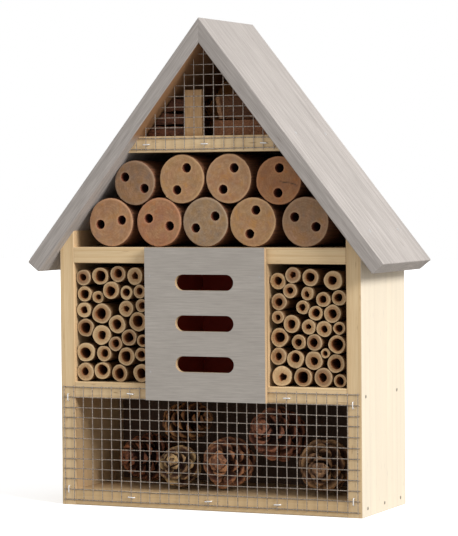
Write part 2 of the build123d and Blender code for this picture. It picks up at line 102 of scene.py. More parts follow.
# %% Lights and sky
KEY_PLACE = (1.7, -0.50, 0.94)
KEY_STRENGTH = 3.3
KEY_WIDTH = math.radians(24)
SKY_LIGHTS = 0.66  # how strongly the sky lights the house
SKY_SHOWS = 1.0  # and how strongly it shows


def aimed(name, kind, place, aim, energy):
    """A light that faces a point."""
    data = bpy.data.lights.new(name, kind)
    data.energy = energy
    lamp = bpy.data.objects.new(name, data)
    lamp.location = place
    lamp.rotation_euler = (Vector(aim) - Vector(place)).to_track_quat("-Z", "Y").to_euler()
    bpy.context.scene.collection.objects.link(lamp)
    return data


key = aimed("key_light", "SUN", KEY_PLACE, (0, 0, 0), KEY_STRENGTH)
key.angle = KEY_WIDTH

sky = bpy.data.worlds.new("pale sky")
sky.use_nodes = True
air = sky.node_tree.nodes["Background"]
seen = sky.node_tree.nodes.new("ShaderNodeLightPath")
strength = sky.node_tree.nodes.new("ShaderNodeMapRange")
strength.inputs["To Min"].default_value = SKY_LIGHTS
strength.inputs["To Max"].default_value = SKY_SHOWS
air.inputs["Color"].default_value = (1, 1, 1, 1)
sky.node_tree.links.new(seen.outputs["Is Camera Ray"], strength.inputs["Value"])
sky.node_tree.links.new(strength.outputs[0], air.inputs["Strength"])
bpy.context.scene.world = sky
bpy.context.scene.view_settings.view_transform = "Standard"
print("key light and sky")


# %% Floor
FLOOR_HALF = 6.0
FLOOR_DROP = -0.0002  # just under the feet, so that the two faces don't fight
FLOOR_LIGHTS = (0.40, 0.39, 0.38, 1)  # what the floor throws back on the house
FLOOR_SHOWS = (0.95, 0.95, 0.95, 1)  # what it shows
FLOOR_GLOW = 0.42  # light of its own that only shows, so that the shadow stays faint

floor_mesh = bpy.data.meshes.new("floor")
sides = ((-1, -1), (1, -1), (1, 1), (-1, 1))
floor_corners = [(x * FLOOR_HALF, y * FLOOR_HALF, FLOOR_DROP) for x, y in sides]
floor_mesh.from_pydata(floor_corners, [], [(0, 1, 2, 3)])
floor = bpy.data.objects.new("floor", floor_mesh)
bpy.context.scene.collection.objects.link(floor)
floor_paint = bpy.data.materials.new("floor paint")
floor_paint.use_nodes = True
floor_tree = floor_paint.node_tree
floor_shader = floor_tree.nodes["Principled BSDF"]
floor_shader.inputs["Roughness"].default_value = 0.9
floor_seen = floor_tree.nodes.new("ShaderNodeLightPath")
floor_shade = floor_tree.nodes.new("ShaderNodeMix")
floor_shade.data_type = "RGBA"
floor_shade.inputs[6].default_value = FLOOR_LIGHTS
floor_shade.inputs[7].default_value = FLOOR_SHOWS
floor_tree.links.new(floor_seen.outputs["Is Camera Ray"], floor_shade.inputs[0])
floor_tree.links.new(floor_shade.outputs[2], floor_shader.inputs["Base Color"])
floor_glow = floor_tree.nodes.new("ShaderNodeMapRange")
floor_glow.inputs["To Max"].default_value = FLOOR_GLOW
floor_shader.inputs["Emission Color"].default_value = (1, 1, 1, 1)
floor_tree.links.new(floor_seen.outputs["Is Camera Ray"], floor_glow.inputs["Value"])
floor_tree.links.new(floor_glow.outputs[0], floor_shader.inputs["Emission Strength"])
floor_mesh.materials.append(floor_paint)
print("stage ready")

# %% [markdown]
# ## Small helpers for meshes
# Every new piece is a surface worked out as arrays. Most are a stack of closed rings: a reed's wall, a wire,
# a cone's scale. `skin` turns the stack into faces and closes both ends, and the sign of the enclosed volume
# tells whether the faces point outwards. `ripples` gives smooth unevenness without any stored picture.


# %% Faces between rings
def sleeve(count, around, start=0):
    """Four-sided faces between rings of points. Point j of ring i joins point j + 1 and ring i + 1, and
    start is the number of the first point."""
    i, j = np.meshgrid(np.arange(count - 1), np.arange(around), indexing="ij")
    after = (j + 1) % around
    corners = (i * around + j, i * around + after, (i + 1) * around + after, (i + 1) * around + j)
    return np.stack(corners, axis=-1).reshape(-1, 4) + start


def fan(start, around, middle):
    """Triangles from each two neighbours of a ring to a middle point."""
    ring = np.arange(around)
    return np.stack([start + ring, start + (ring + 1) % around, np.full(around, middle)], axis=-1)


def outward(points, quads, tris):
    """Turns all faces round when the volume they enclose comes out negative."""
    volume = 0.0
    for faces in (quads[:, [0, 1, 2]], quads[:, [0, 2, 3]], tris):
        a, b, c = (points[faces[:, k]] for k in range(3))
        volume += np.einsum("ij,ij->", a, np.cross(b, c))
    if volume < 0:
        return quads[:, ::-1], tris[:, ::-1]
    return quads, tris


def skin(rings, marks=None):
    """Faces over closed rings of points, with a fan to its own middle at each end. rings is (count, around,
    3), and marks, where a material needs them, is (count, around, how many)."""
    count, around = rings.shape[:2]
    if marks is None:
        marks = np.zeros((count, around, 1))
    total = count * around
    points = np.concatenate([rings.reshape(-1, 3), rings[[0, -1]].mean(1)])
    values = np.concatenate([marks.reshape(total, -1), marks[[0, -1]].mean(1)])
    tris = np.concatenate([fan(0, around, total)[:, [1, 0, 2]], fan(total - around, around, total + 1)])
    quads, tris = outward(points, sleeve(count, around), tris)
    return points, quads, tris, values


print("faces between rings ready")


# %% One object from many patches
def build(name, patches, mark_names, material, sharp=40.0):
    """One object from many patches, with each mark as a named attribute on its points. Edges that turn by
    more than the angle sharp stay sharp."""
    starts = np.cumsum([0] + [len(patch[0]) for patch in patches[:-1]])
    points = np.concatenate([patch[0] for patch in patches])
    quads = np.concatenate([patch[1] + start for patch, start in zip(patches, starts)])
    tris = np.concatenate([patch[2] + start for patch, start in zip(patches, starts)])
    marks = np.concatenate([patch[3] for patch in patches])
    mesh = bpy.data.meshes.new(name)
    mesh.vertices.add(len(points))
    mesh.vertices.foreach_set("co", points.astype(np.float32).ravel())
    loops = np.concatenate([quads.ravel(), tris.ravel()]).astype(np.int32)
    sizes = np.concatenate([np.full(len(quads), 4), np.full(len(tris), 3)])
    mesh.loops.add(len(loops))
    mesh.loops.foreach_set("vertex_index", loops)
    mesh.polygons.add(len(sizes))
    mesh.polygons.foreach_set("loop_start", (np.cumsum(sizes) - sizes).astype(np.int32))
    mesh.update(calc_edges=True)
    for column, mark in enumerate(mark_names):
        layer = mesh.attributes.new(mark, "FLOAT", "POINT")
        layer.data.foreach_set("value", marks[:, column].astype(np.float32))
    mesh.shade_smooth()
    mesh.set_sharp_from_angle(angle=math.radians(sharp))
    mesh.materials.append(material)
    piece = bpy.data.objects.new(name, mesh)
    bpy.context.scene.collection.objects.link(piece)
    return piece


def seat(piece, slot, *cad_nodes):
    """Lets a piece ride on the body and stand for its CAD nodes."""
    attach(piece, "root")
    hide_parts(*cad_nodes)
    print(piece.name, "faces", len(piece.data.polygons))


print("building ready")


# %% Smooth unevenness
def ripples(points, length, seed, waves=14):
    """Smooth unevenness between about -1 and 1: a sum of sine waves of roughly one length, crossing the
    points in random directions, divided by the root of how many there are."""
    rng = np.random.default_rng(seed)
    ways = rng.normal(size=(waves, points.shape[-1]))
    ways /= np.linalg.norm(ways, axis=1, keepdims=True)
    lengths = length * rng.uniform(0.6, 1.6, (waves, 1))
    phases = rng.uniform(0, 2 * math.pi, waves)
    return np.sin(points @ (ways / lengths).T * 2 * math.pi + phases).sum(-1) / math.sqrt(waves)


print("unevenness ready")


# %% Solids of a CAD node
def solids_of(node):
    """The separate solids of a CAD node, each as an array of its points. Points that share a triangle get
    the lowest label among them, again and again, until nothing changes."""
    mesh = nodes[node].data
    mesh.calc_loop_triangles()
    places = np.zeros(len(mesh.vertices) * 3)
    mesh.vertices.foreach_get("co", places)
    places = places.reshape(-1, 3)
    triangles = np.zeros(len(mesh.loop_triangles) * 3, dtype=int)
    mesh.loop_triangles.foreach_get("vertices", triangles)
    keys, merged = np.unique(np.round(places * 1e6).astype(int), axis=0, return_inverse=True)
    faces = merged.ravel()[triangles].reshape(-1, 3)
    label = np.arange(len(keys))
    settled = False
    while not settled:
        lower = label.copy()
        np.minimum.at(lower, faces.ravel(), np.repeat(label[faces].min(1), 3))
        lower = lower[lower]
        settled = bool((lower == label).all())
        label = lower
    return [keys[label == value] / 1e6 for value in np.unique(label)]


print("lower mesh wires", len(solids_of("lower_mesh")))

# %% [markdown]
# ## Small helpers for materials
# A shader is a graph of nodes. `put` adds one node, sets its options and feeds its sockets, so a material
# reads as a list of steps. `layered` lays colours over each other, as a painter does. Effects that several
# materials share are node groups with named sockets: the grain of a board, and the cut end of a stem.


# %% Shader helpers
def put(tree, kind, inputs=None, **options):
    """Adds a node. An input is either a plain value or the socket that feeds it."""
    node = tree.nodes.new(kind)
    for key, value in options.items():
        setattr(node, key, value)
    for key, value in (inputs or {}).items():
        if isinstance(value, bpy.types.NodeSocket):
            tree.links.new(value, node.inputs[key])
        else:
            node.inputs[key].default_value = value
    return node


def arithmetic(tree, operation, first, second=0.0):
    """One step of arithmetic."""
    return put(tree, "ShaderNodeMath", {0: first, 1: second}, operation=operation).outputs[0]


def times(tree, first, second):
    """A product."""
    return arithmetic(tree, "MULTIPLY", first, second)


def plus(tree, first, second):
    """A sum."""
    return arithmetic(tree, "ADD", first, second)


def span(tree, value, low, high, to_low=0.0, to_high=1.0):
    """Moves a value from one range to another and stops at its ends."""
    inputs = {"Value": value, "From Min": low, "From Max": high, "To Min": to_low, "To Max": to_high}
    return put(tree, "ShaderNodeMapRange", inputs).outputs[0]


def tint(tree, share, first, second, mode="MIX"):
    """Mixes two colours."""
    inputs = {0: share, 6: first, 7: second}
    return put(tree, "ShaderNodeMix", inputs, data_type="RGBA", blend_type=mode).outputs[2]


def layered(tree, colour, layers):
    """Lays colours over a first one, in order. Each layer is (share, colour)."""
    for share, over in layers:
        colour = tint(tree, share, colour, over)
    return colour


def toned(colour, red, green, blue):
    """A colour with its three parts made stronger or weaker."""
    return (colour[0] * red, colour[1] * green, colour[2] * blue, 1)


def cloud(tree, place, scale, detail=3.0, roughness=0.55):
    """Noise from 0 to 1."""
    inputs = {"Vector": place, "Scale": scale, "Detail": detail, "Roughness": roughness}
    return put(tree, "ShaderNodeTexNoise", inputs).outputs["Fac"]


def stretched(tree, place, factors):
    """Squeezes a pattern's place along the axes, so that the pattern is drawn out along them."""
    return put(tree, "ShaderNodeVectorMath", {0: place, 1: factors}, operation="MULTIPLY").outputs[0]


def mark(tree, name):
    """A value that the mesh holds on its points."""
    return put(tree, "ShaderNodeAttribute", attribute_name=name).outputs["Fac"]


def new_group(name, inputs, outputs):
    """An empty node group with named sockets. Each input is (name, kind, default)."""
    tree = bpy.data.node_groups.new(name, "ShaderNodeTree")
    for label, kind, default in inputs:
        socket = tree.interface.new_socket(label, in_out="INPUT", socket_type=kind)
        if default is not None:
            socket.default_value = default
    for label in outputs:
        tree.interface.new_socket(label, in_out="OUTPUT", socket_type="NodeSocketFloat")
    return tree, tree.nodes.new("NodeGroupInput").outputs, tree.nodes.new("NodeGroupOutput").inputs


def grouped(tree, group, inputs):
    """Places a node group in a material."""
    return put(tree, "ShaderNodeGroup", inputs, node_tree=group).outputs


def new_material(name, roughness, metallic=0.0):
    """A material, its node tree and its shader."""
    material = bpy.data.materials.new(name)
    material.use_nodes = True
    shader = material.node_tree.nodes["Principled BSDF"]
    shader.inputs["Roughness"].default_value = roughness
    shader.inputs["Metallic"].default_value = metallic
    return material, material.node_tree, shader


def object_place(tree):
    """Where a point is on the object, in metres."""
    return put(tree, "ShaderNodeTexCoord").outputs["Object"]


def dress(tree, shader, colour, height, depth, strength):
    """Gives a shader its colour and a small relief that is too fine to model. depth is the relief's, in
    metres from lowest to highest."""
    tree.links.new(colour, shader.inputs["Base Color"])
    inputs = {"Height": height, "Strength": strength, "Distance": depth}
    bump = put(tree, "ShaderNodeBump", inputs)
    tree.links.new(bump.outputs["Normal"], shader.inputs["Normal"])


print("shader helpers ready")

# %% [markdown]
# ## The boards
# The body is planed pine, about 13 mm thick, left bare. A board is a slice of a trunk, so its grain is a
# slice through rings around a pith that lies outside the board. The same rings then show as straight lines
# on one face and as arcs on the end, which a flat picture wrapped round the board can't do. Each board has
# its own pith, so no two boards look alike. The roof is the same wood under a thin grey stain.
#
# The grain is made once, as a node group. Sawn wood shows yearly rings, each pale at first and then slowly
# darker until it stops sharply, fine fibres along the board, broad blotches and short brown flecks. The group
# gives these as four values, and each board decides how strongly to show them.


# %% Node group: grain of a board
def board_grain_group():
    """Rings are tubes around the pith, which runs along Z. Their radius wanders slowly. Fibres are noise
    drawn out along Z, and so are the broad blotches and the short brown flecks."""
    tree, given, gives = new_group("board grain", [
        ("Place", "NodeSocketVector", None),
        ("Ring Spacing", "NodeSocketFloat", 0.0035),
        ("Wander", "NodeSocketFloat", 0.004),
        ("Fibre Scale", "NodeSocketFloat", 1500.0),
    ], ("Rings", "Fibres", "Blotches", "Flecks"))
    place = given["Place"]
    across = stretched(tree, place, (1, 1, 0))
    radius = put(tree, "ShaderNodeVectorMath", {0: across}, operation="LENGTH").outputs["Value"]
    wander = arithmetic(tree, "SUBTRACT", cloud(tree, stretched(tree, place, (1, 1, 0.22)), 22.0, 2.0), 0.5)
    wandered = plus(tree, radius, times(tree, wander, given["Wander"]))
    turns = arithmetic(tree, "DIVIDE", wandered, given["Ring Spacing"])
    saw = arithmetic(tree, "FRACT", turns)
    slow_rise = arithmetic(tree, "POWER", saw, 2.6)
    quick_fall = span(tree, saw, 0.93, 1.0, 1.0, 0.0)
    tree.links.new(times(tree, slow_rise, quick_fall), gives["Rings"])
    fibres = cloud(tree, stretched(tree, place, (1, 1, 0.03)), given["Fibre Scale"], 2.0)
    tree.links.new(fibres, gives["Fibres"])
    tree.links.new(cloud(tree, stretched(tree, place, (1, 1, 0.16)), 45.0, 3.0), gives["Blotches"])
    flecks = cloud(tree, stretched(tree, place, (1, 1, 0.18)), 420.0, 1.0)
    tree.links.new(span(tree, flecks, 0.70, 0.80), gives["Flecks"])
    return tree


board_grain = board_grain_group()
print("group", board_grain.name)

# %% [markdown]
# ## Washes
# A bare board isn't the same all over. The right side's outer face is painted pale, a painted highlight of
# the strong light from the right, and the left's gets a weaker, warmer pale wash. The rooms' walls and floors
# get painted shade, with some darkening from age, the closed room behind the plate gets the deepest painted
# shade, and the attic's back wall a warm one. Under the roof, above the attic shelf, the roof boards are bare
# pine with painted shade, and they keep their stain outside. So each board gets thin colours over its wood,
# and where they lie is read from the place on the board and the way its surface looks.


# %% Washes
# A wash is (stretches, colour, strength), and a stretch is (measure, from, to): the wash comes in between the
# two. X and Y are distances from the middle plane and Z is the height, all in millimetres. "down" tells how
# far the surface looks downwards, from -1 to 1.
# Painted highlight: a pale wash on the right side's outer face stands in for the strong light from the right.
# The left's outer face gets a weaker, warmer pale wash.
PAINTED_SIDE_HIGHLIGHT = (0.69, 0.70, 0.655, 1)
LEFT_OUTER_PALE = (0.74, 0.63, 0.47, 1)
# Painted shade, with some darkening from age, for the rooms' inner faces.
ROOM_SHADE_AND_AGE = (0.36, 0.205, 0.10, 1)
# Painted shade: the back wall inside the rooms, nearly black.
SHADED = (0.046, 0.015, 0.006, 1)
# Painted shade: the closed room behind the plate, dark red through its slots.
CHAMBER_PAINTED_SHADE = (0.42, 0.035, 0.012, 1)
# The roof's underside above the attic shelf: bare pine, with painted shade that darkens it.
BARE_PINE_IN_SHADE = (0.29, 0.142, 0.055, 1)
# Painted shade on the attic's back wall, warm brown.
ATTIC_BACK_SHADE = (0.56, 0.23, 0.060, 1)
HANDLED = (0.60, 0.40, 0.19, 1)
SLOPE_GREY = (0.30, 0.27, 0.25, 1)
SIDE_FACE = ("X", 131.0, 131.8)
INNER_FACE = ("Y", 39.9, 39.6)
CHAMBER_PLACE = (("X", 43.9, 43.7), ("Z", 101.0, 101.3), ("Z", 198.0, 197.7))
# painted shade on the walls of the closed room behind the plate
CHAMBER = (CHAMBER_PLACE, CHAMBER_PAINTED_SHADE, 0.96)
# INSIDE, DEEP and BESIDE_REEDS lay painted shade on the rooms' inner walls and floors, DEEP darker towards
# the back, with some darkening from age.
INSIDE = ((("X", 119.8, 119.2),), ROOM_SHADE_AND_AGE, 0.45)
DEEP = ((("Y", 47.6, 30.0),), ROOM_SHADE_AND_AGE, 0.50)
BESIDE_REEDS = ((("X", 52.0, 52.4),), ROOM_SHADE_AND_AGE, 0.5)
# bare pine with painted shade under the roof, above the attic shelf
SOFFIT = ((("down", 0.3, 0.5), ("Y", 60.6, 59.8), ("Z", 294.0, 302.0)), BARE_PINE_IN_SHADE, 0.95)
# painted shade over the back wall's inner face
BACK_OF_ROOMS = ((INNER_FACE,), SHADED, 0.96)
# warm painted shade on the attic's back wall
BACK_OF_ATTIC = ((INNER_FACE, ("Z", 299.0, 301.0)), ATTIC_BACK_SHADE, 0.92)
BACK_OF_CHAMBER = ((INNER_FACE, *CHAMBER_PLACE), CHAMBER_PAINTED_SHADE, 0.96)
washes = {
    "side_panel_left": (((SIDE_FACE,), LEFT_OUTER_PALE, 0.40), INSIDE),
    # painted highlight on the right side's outer face
    "side_panel_right": (((SIDE_FACE,), PAINTED_SIDE_HIGHLIGHT, 0.52), INSIDE),
    "bottom_board": (DEEP, ((("Y", 47.6, 48.3), ("Z", 12.6, 12.2)), HANDLED, 0.50)),
    "lower_shelf": (DEEP,),
    "upper_shelf": (DEEP,),
    "attic_shelf": (DEEP,),
    "back_panel": (BACK_OF_ROOMS, BACK_OF_ATTIC, BACK_OF_CHAMBER),
    "divider_left": (CHAMBER, BESIDE_REEDS),
    "divider_right": (CHAMBER, BESIDE_REEDS),
    "roof_panel_left": (SOFFIT,),
    "roof_panel_right": (SOFFIT, ((("Z", 285.0, 395.0),), SLOPE_GREY, 0.30)),
}
print("washes on", len(washes), "boards")


# %% Laying the washes
def washed(tree, colour, node):
    """A board's colour with its washes over it. A stretch is a ramp from 0 to 1 along its measure, and a
    wash's share is the product of its ramps and its strength."""
    coordinates = put(tree, "ShaderNodeTexCoord").outputs
    in_mm = stretched(tree, coordinates["Object"], (1000, 1000, 1000))
    parts = put(tree, "ShaderNodeSeparateXYZ", {0: in_mm}).outputs
    upwards = put(tree, "ShaderNodeSeparateXYZ", {0: coordinates["Normal"]}).outputs["Z"]
    measures = {
        "X": arithmetic(tree, "ABSOLUTE", parts["X"]),
        "Y": arithmetic(tree, "ABSOLUTE", parts["Y"]),
        "Z": parts["Z"],
        "down": times(tree, upwards, -1.0),
    }
    for stretches, wash, strength in washes.get(node, ()):
        share = strength
        for measure, begins, ends in stretches:
            share = times(tree, span(tree, measures[measure], begins, ends), share)
        colour = tint(tree, share, colour, wash)
    return colour


print("washes can be laid")


# %% [markdown]
# ## Board finish
# A board's wood is its pale colour with the group's rings, fibres and flecks laid over it in darker ones, and
# the washes on top. A Mapping node first turns the board's place so that its grain stands upright, and puts
# the middle of the rings outside the board, where the pith was. The rings and fibres also give a low relief.

# %% Board finish
def board_finish(node, lay, pith, pale, dark, rings, fibres, flecks, spacing, roughness=0.62):
    """Wood for one board. lay is the turn about Y, in degrees, that stands its grain upright, and pith is
    where the pith lies from the board's middle, in millimetres, in that turned place. rings, fibres and
    flecks are strengths, and spacing is the rings' distance in metres."""
    material, tree, shader = new_material(f"{node} wood", roughness)
    low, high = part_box(node)
    upright = Matrix.Rotation(math.radians(lay), 3, "Y")
    shift = Vector(pith) * MM - upright @ ((low + high) / 2)
    inputs = {"Vector": object_place(tree), "Rotation": (0, math.radians(lay), 0), "Location": shift}
    place = put(tree, "ShaderNodeMapping", inputs).outputs[0]
    grain = grouped(tree, board_grain, {"Place": place, "Ring Spacing": spacing})
    wood = layered(tree, pale, (
        (times(tree, grain["Rings"], rings), dark),
        (span(tree, grain["Fibres"], 0.35, 0.70, 0.0, fibres), dark),
    ))
    shade = span(tree, grain["Blotches"], 0.3, 0.7, 0.90, 1.06)
    grey = put(tree, "ShaderNodeCombineXYZ", {0: shade, 1: shade, 2: shade}).outputs[0]
    wood = tint(tree, 1.0, wood, grey, "MULTIPLY")
    wood = tint(tree, times(tree, grain["Flecks"], flecks), wood, toned(dark, 0.45, 0.32, 0.25))
    height = plus(tree, times(tree, grain["Rings"], 0.6), grain["Fibres"])
    dress(tree, shader, washed(tree, wood, node), height, 0.00012, 0.6)
    return material


def paint_node(node, material):
    """Gives a CAD node its finish."""
    mesh = nodes[node].data
    mesh.materials.clear()
    mesh.materials.append(material)


print("board finish ready")


# %% Finishes of the boards
PINE_PALE = (0.80, 0.60, 0.35, 1)
PINE_DARK = (0.58, 0.365, 0.16, 1)
STAIN_PALE = (0.47, 0.43, 0.40, 1)
STAIN_DARK = (0.27, 0.24, 0.22, 1)
ALONG_X = -90
ROOF_LAY = 38.6  # stands the slope's direction upright
CLOSE_RINGS = 0.0036
WIDE_RINGS = 0.0064
ROOF_RINGS = 0.0050

pine_boards = {
    "side_panel_left": (0, (38, 12, 0), WIDE_RINGS),
    "side_panel_right": (0, (-42, 6, 0), WIDE_RINGS),
    "bottom_board": (ALONG_X, (34, -8, 0), CLOSE_RINGS),
    "lower_shelf": (ALONG_X, (-30, 14, 0), CLOSE_RINGS),
    "upper_shelf": (ALONG_X, (36, 5, 40), CLOSE_RINGS),
    "attic_shelf": (ALONG_X, (28, -12, 0), CLOSE_RINGS),
    "back_panel": (0, (25, 46, 0), CLOSE_RINGS),
    "divider_left": (0, (30, 15, 0), CLOSE_RINGS),
    "divider_right": (0, (-30, 20, 0), CLOSE_RINGS),
}
roof_boards = {
    "roof_panel_left": (-ROOF_LAY, (-40, 10, 0)),
    "roof_panel_right": (ROOF_LAY, (44, -14, 0)),
}
for node, (lay, pith, spacing) in pine_boards.items():
    finish = board_finish(node, lay, pith, PINE_PALE, PINE_DARK, 0.46, 0.34, 0.60, spacing)
    paint_node(node, finish)
for node, (lay, pith) in roof_boards.items():
    finish = board_finish(node, lay, pith, STAIN_PALE, STAIN_DARK, 0.48, 0.75, 0.30, ROOF_RINGS, 0.7)
    paint_node(node, finish)
print("boards", len(pine_boards), "and roof boards", len(roof_boards))

# %% [markdown]
# ## The front plate
# The plate is thin board, painted grey on its face only. The brush left fine level streaks. The sawn edges
# and the insides of the slots stay bare, so the paint is laid on where the surface looks forwards. The
# object's own Normal tells that: its Y is -1 on the face.


# %% Plate finish
PAINT_DARK = (0.35, 0.318, 0.285, 1)
PAINT_PALE = (0.475, 0.435, 0.39, 1)
PAINT_WORN = (0.345, 0.31, 0.275, 1)
SAWN_PALE = (0.62, 0.46, 0.28, 1)
SAWN_BROWN = (0.42, 0.26, 0.13, 1)


def plate_finish():
    """Grey brushed paint on the face, and bare wood on the edges."""
    material, tree, shader = new_material("plate paint", 0.55)
    place = object_place(tree)
    streaks = cloud(tree, stretched(tree, place, (0.035, 1, 1)), 1500.0, 3.0, 0.7)
    broad = cloud(tree, stretched(tree, place, (0.25, 1, 1)), 60.0, 3.0)
    paint = layered(tree, PAINT_DARK, (
        (span(tree, streaks, 0.32, 0.68), PAINT_PALE),
        (span(tree, broad, 0.35, 0.65, 0.0, 0.35), PAINT_WORN),
    ))
    bare = tint(tree, streaks, SAWN_PALE, SAWN_BROWN)
    facing = put(tree, "ShaderNodeTexCoord").outputs["Normal"]
    forwards = put(tree, "ShaderNodeSeparateXYZ", {0: facing}).outputs["Y"]
    share = span(tree, forwards, -0.9, -0.6, 1.0, 0.0)
    dress(tree, shader, tint(tree, share, bare, paint), streaks, 0.00008, 0.7)
    return material


paint_node("front_plate", plate_finish())
print("front plate painted")

# %% [markdown]
# ## Metal
# The mesh is galvanised: a dull zinc skin with soft grey spangles. The hanger, its screws and the nails of
# roof and back are plain steel, the side nails have dulled to brown, the brads carry the plate's paint, and
# the staples are bright. A metal's colour is the colour of its reflection, so Metallic is high and Roughness
# does the rest. The staples and the painted brads reflect less, so their Metallic is low.


# %% Metal finishes
def metal_finish(name, dull, bright, roughness, metallic=0.85):
    """Zinc or steel with soft spangles and slightly uneven gloss."""
    material, tree, shader = new_material(name, roughness, metallic)
    place = object_place(tree)
    spangle = cloud(tree, place, 900.0, 2.0)
    gloss = span(tree, cloud(tree, place, 300.0, 2.0), 0.3, 0.7, roughness - 0.08, roughness + 0.12)
    tree.links.new(gloss, shader.inputs["Roughness"])
    dress(tree, shader, tint(tree, span(tree, spangle, 0.35, 0.65), dull, bright), spangle, 0.00003, 0.5)
    return material


zinc = metal_finish("galvanised wire", (0.27, 0.228, 0.195, 1), (0.60, 0.53, 0.465, 1), 0.38)
steel = metal_finish("steel", (0.66, 0.65, 0.64, 1), (0.88, 0.87, 0.86, 1), 0.30)
painted_head = metal_finish("painted brad head", (0.37, 0.35, 0.33, 1), (0.47, 0.45, 0.43, 1), 0.5, 0.0)
nail_steel = metal_finish("nail heads", (0.20, 0.165, 0.13, 1), (0.40, 0.345, 0.28, 1), 0.45)
staple_steel = metal_finish("staples", (0.86, 0.85, 0.84, 1), (0.98, 0.97, 0.96, 1), 0.25, 0.35)
for node in ("roof_nails", "back_nails", "hanger_plate", "hanger_screws"):
    paint_node(node, steel)
paint_node("side_nails", nail_steel)
paint_node("plate_brads", painted_head)
print("metal finishes ready")

# %% [markdown]
# ## Wire mesh
# The mesh is welded from straight wires, about three to the inch. Cut from a roll and stapled on, each wire
# keeps a slight wave, and the weld at each crossing makes it a little thicker. Each wire is a tube: a ring of
# points carried along its line. The line's place comes from the CAD wire, and a slow wave bends it.


# %% Wires
WIRE_PITCH = 8.5 * MM
WIRE_STEP = 1.7 * MM  # between the rings of a wire
WIRE_FULLNESS = 0.92  # of the CAD wire's thickness


def wire(solid, seed):
    """A wire along X or Z. Its middle line wanders with the sum of two sines across the mesh's plane, and its
    radius swells near each crossing by a bell curve of the distance to the nearest one."""
    low, high = solid.min(0), solid.max(0)
    axis = 0 if high[0] - low[0] > high[2] - low[2] else 2
    side = 2 - axis
    radius = (high[1] - low[1]) / 2 * WIRE_FULLNESS
    length = high[axis] - low[axis]
    rng = np.random.default_rng(seed)
    count = max(int(length / WIRE_STEP), 6)
    along = np.linspace(0, length, count)
    phases = rng.uniform(0, 2 * math.pi, 2)
    wave = 0.22 * MM * np.sin(along / 0.043 + phases[0]) + 0.12 * MM * np.sin(along / 0.017 + phases[1])
    to_crossing = (along - 1.6 * MM + WIRE_PITCH / 2) % WIRE_PITCH - WIRE_PITCH / 2
    swell = 1 + 0.10 * np.exp(-((to_crossing / (0.7 * MM)) ** 2))
    swell[[0, -1]] = 0.55
    angle = np.linspace(0, 2 * math.pi, 8, endpoint=False)
    rings = np.zeros((count, 8, 3))
    middle = (low + high) / 2
    rings[..., axis] = low[axis] + along[:, None]
    rings[..., side] = middle[side] + wave[:, None] + np.outer(swell, np.cos(angle)) * radius
    rings[..., 1] = middle[1] + np.outer(np.minimum(swell, 1.04), np.sin(angle)) * radius
    return skin(rings)


for node in ("lower_mesh", "attic_mesh"):
    wires = [wire(solid, index) for index, solid in enumerate(solids_of(node))]
    seat(build(f"{node}_wires", wires, (), zinc), "wire", node)

# %% [markdown]
# ## Staples
# The mesh is held by wire staples shot into the wood. What shows is the crown and the bends at its two ends.
# Each is one wire, so it is one tube along a bracket-shaped path. The path is a line with two quarter
# circles, and at each point of it stands a flat oval, square to the path.


# %% Staples
CROWN_BEND = 0.7 * MM
STAPLE_HALF = (0.33 * MM, 0.48 * MM)  # half its thickness and half its width


def staple(solid, seed):
    """A staple as one bent wire: down a leg, over the crown and down the other leg. The path is a rounded
    bracket, the section a flat oval, and the crown is slightly bowed."""
    low, high = solid.min(0), solid.max(0)
    across = 0 if high[0] - low[0] > high[2] - low[2] else 2
    middle = (low + high) / 2
    half = (high[across] - low[across]) / 2 - 0.45 * MM
    depth = high[1] - low[1] - 0.35 * MM
    bend = CROWN_BEND
    quarter = np.linspace(0, math.pi / 2, 6)
    left = np.stack([-half + bend - bend * np.cos(quarter), depth - bend + bend * np.sin(quarter)], axis=-1)
    path = np.concatenate([[[-half, 0.0]], left, left[::-1] * (-1, 1), [[half, 0.0]]])
    ahead = np.gradient(path, axis=0)
    ahead /= np.linalg.norm(ahead, axis=1, keepdims=True)
    out = np.stack([-ahead[:, 1], ahead[:, 0]], axis=-1)
    angle = np.linspace(0, 2 * math.pi, 10, endpoint=False)
    rings = np.zeros((len(path), 10, 3))
    offset = out[:, None, :] * (np.cos(angle) * STAPLE_HALF[0])[None, :, None]
    lean = np.random.default_rng(seed).uniform(-0.10, 0.10)
    rings[..., across] = middle[across] + path[:, None, 0] + offset[..., 0]
    rings[..., 1] = high[1] - path[:, None, 1] - offset[..., 1]
    rings[..., 2 - across] = middle[2 - across] + np.sin(angle) * STAPLE_HALF[1] + lean * path[:, None, 0]
    return skin(rings)


for node in ("lower_mesh_staples", "attic_mesh_staples"):
    bent = [staple(solid, index) for index, solid in enumerate(solids_of(node))]
    seat(build(f"{node}_bent", bent, (), staple_steel), "steel", node)

# %% [markdown]
# ## Reeds
# Each reed is a dry stem cut square. Seen from the front it is a pale rim between a brown skin and a dark
# bore, never quite round. One closed surface makes it: rings run along the outside to the front, over the
# rim, and back into the bore to the node that closes it. Outline and bore are circles with a few cosine waves
# added, and a thin bore, which still has pith round it, is the more uneven one.


# %% Reed shape
REED_MARKS = ("cut", "bore", "depth", "tone", "edge")
CUT, BORE, DEPTH, TONE, EDGE = range(5)
THIN_BORE = 0.40  # below this share of the radius


def wavy(angle, rng, orders, strength):
    """A circle's unevenness: cosine waves of the given orders with random size and phase, at most 1 high."""
    total = np.zeros_like(angle)
    for order in orders:
        size = rng.uniform(0.3, 1.0) / math.sqrt(order)
        total += size * np.cos(order * angle + rng.uniform(0, 2 * math.pi))
    return 1 + strength * total / np.abs(total).max()


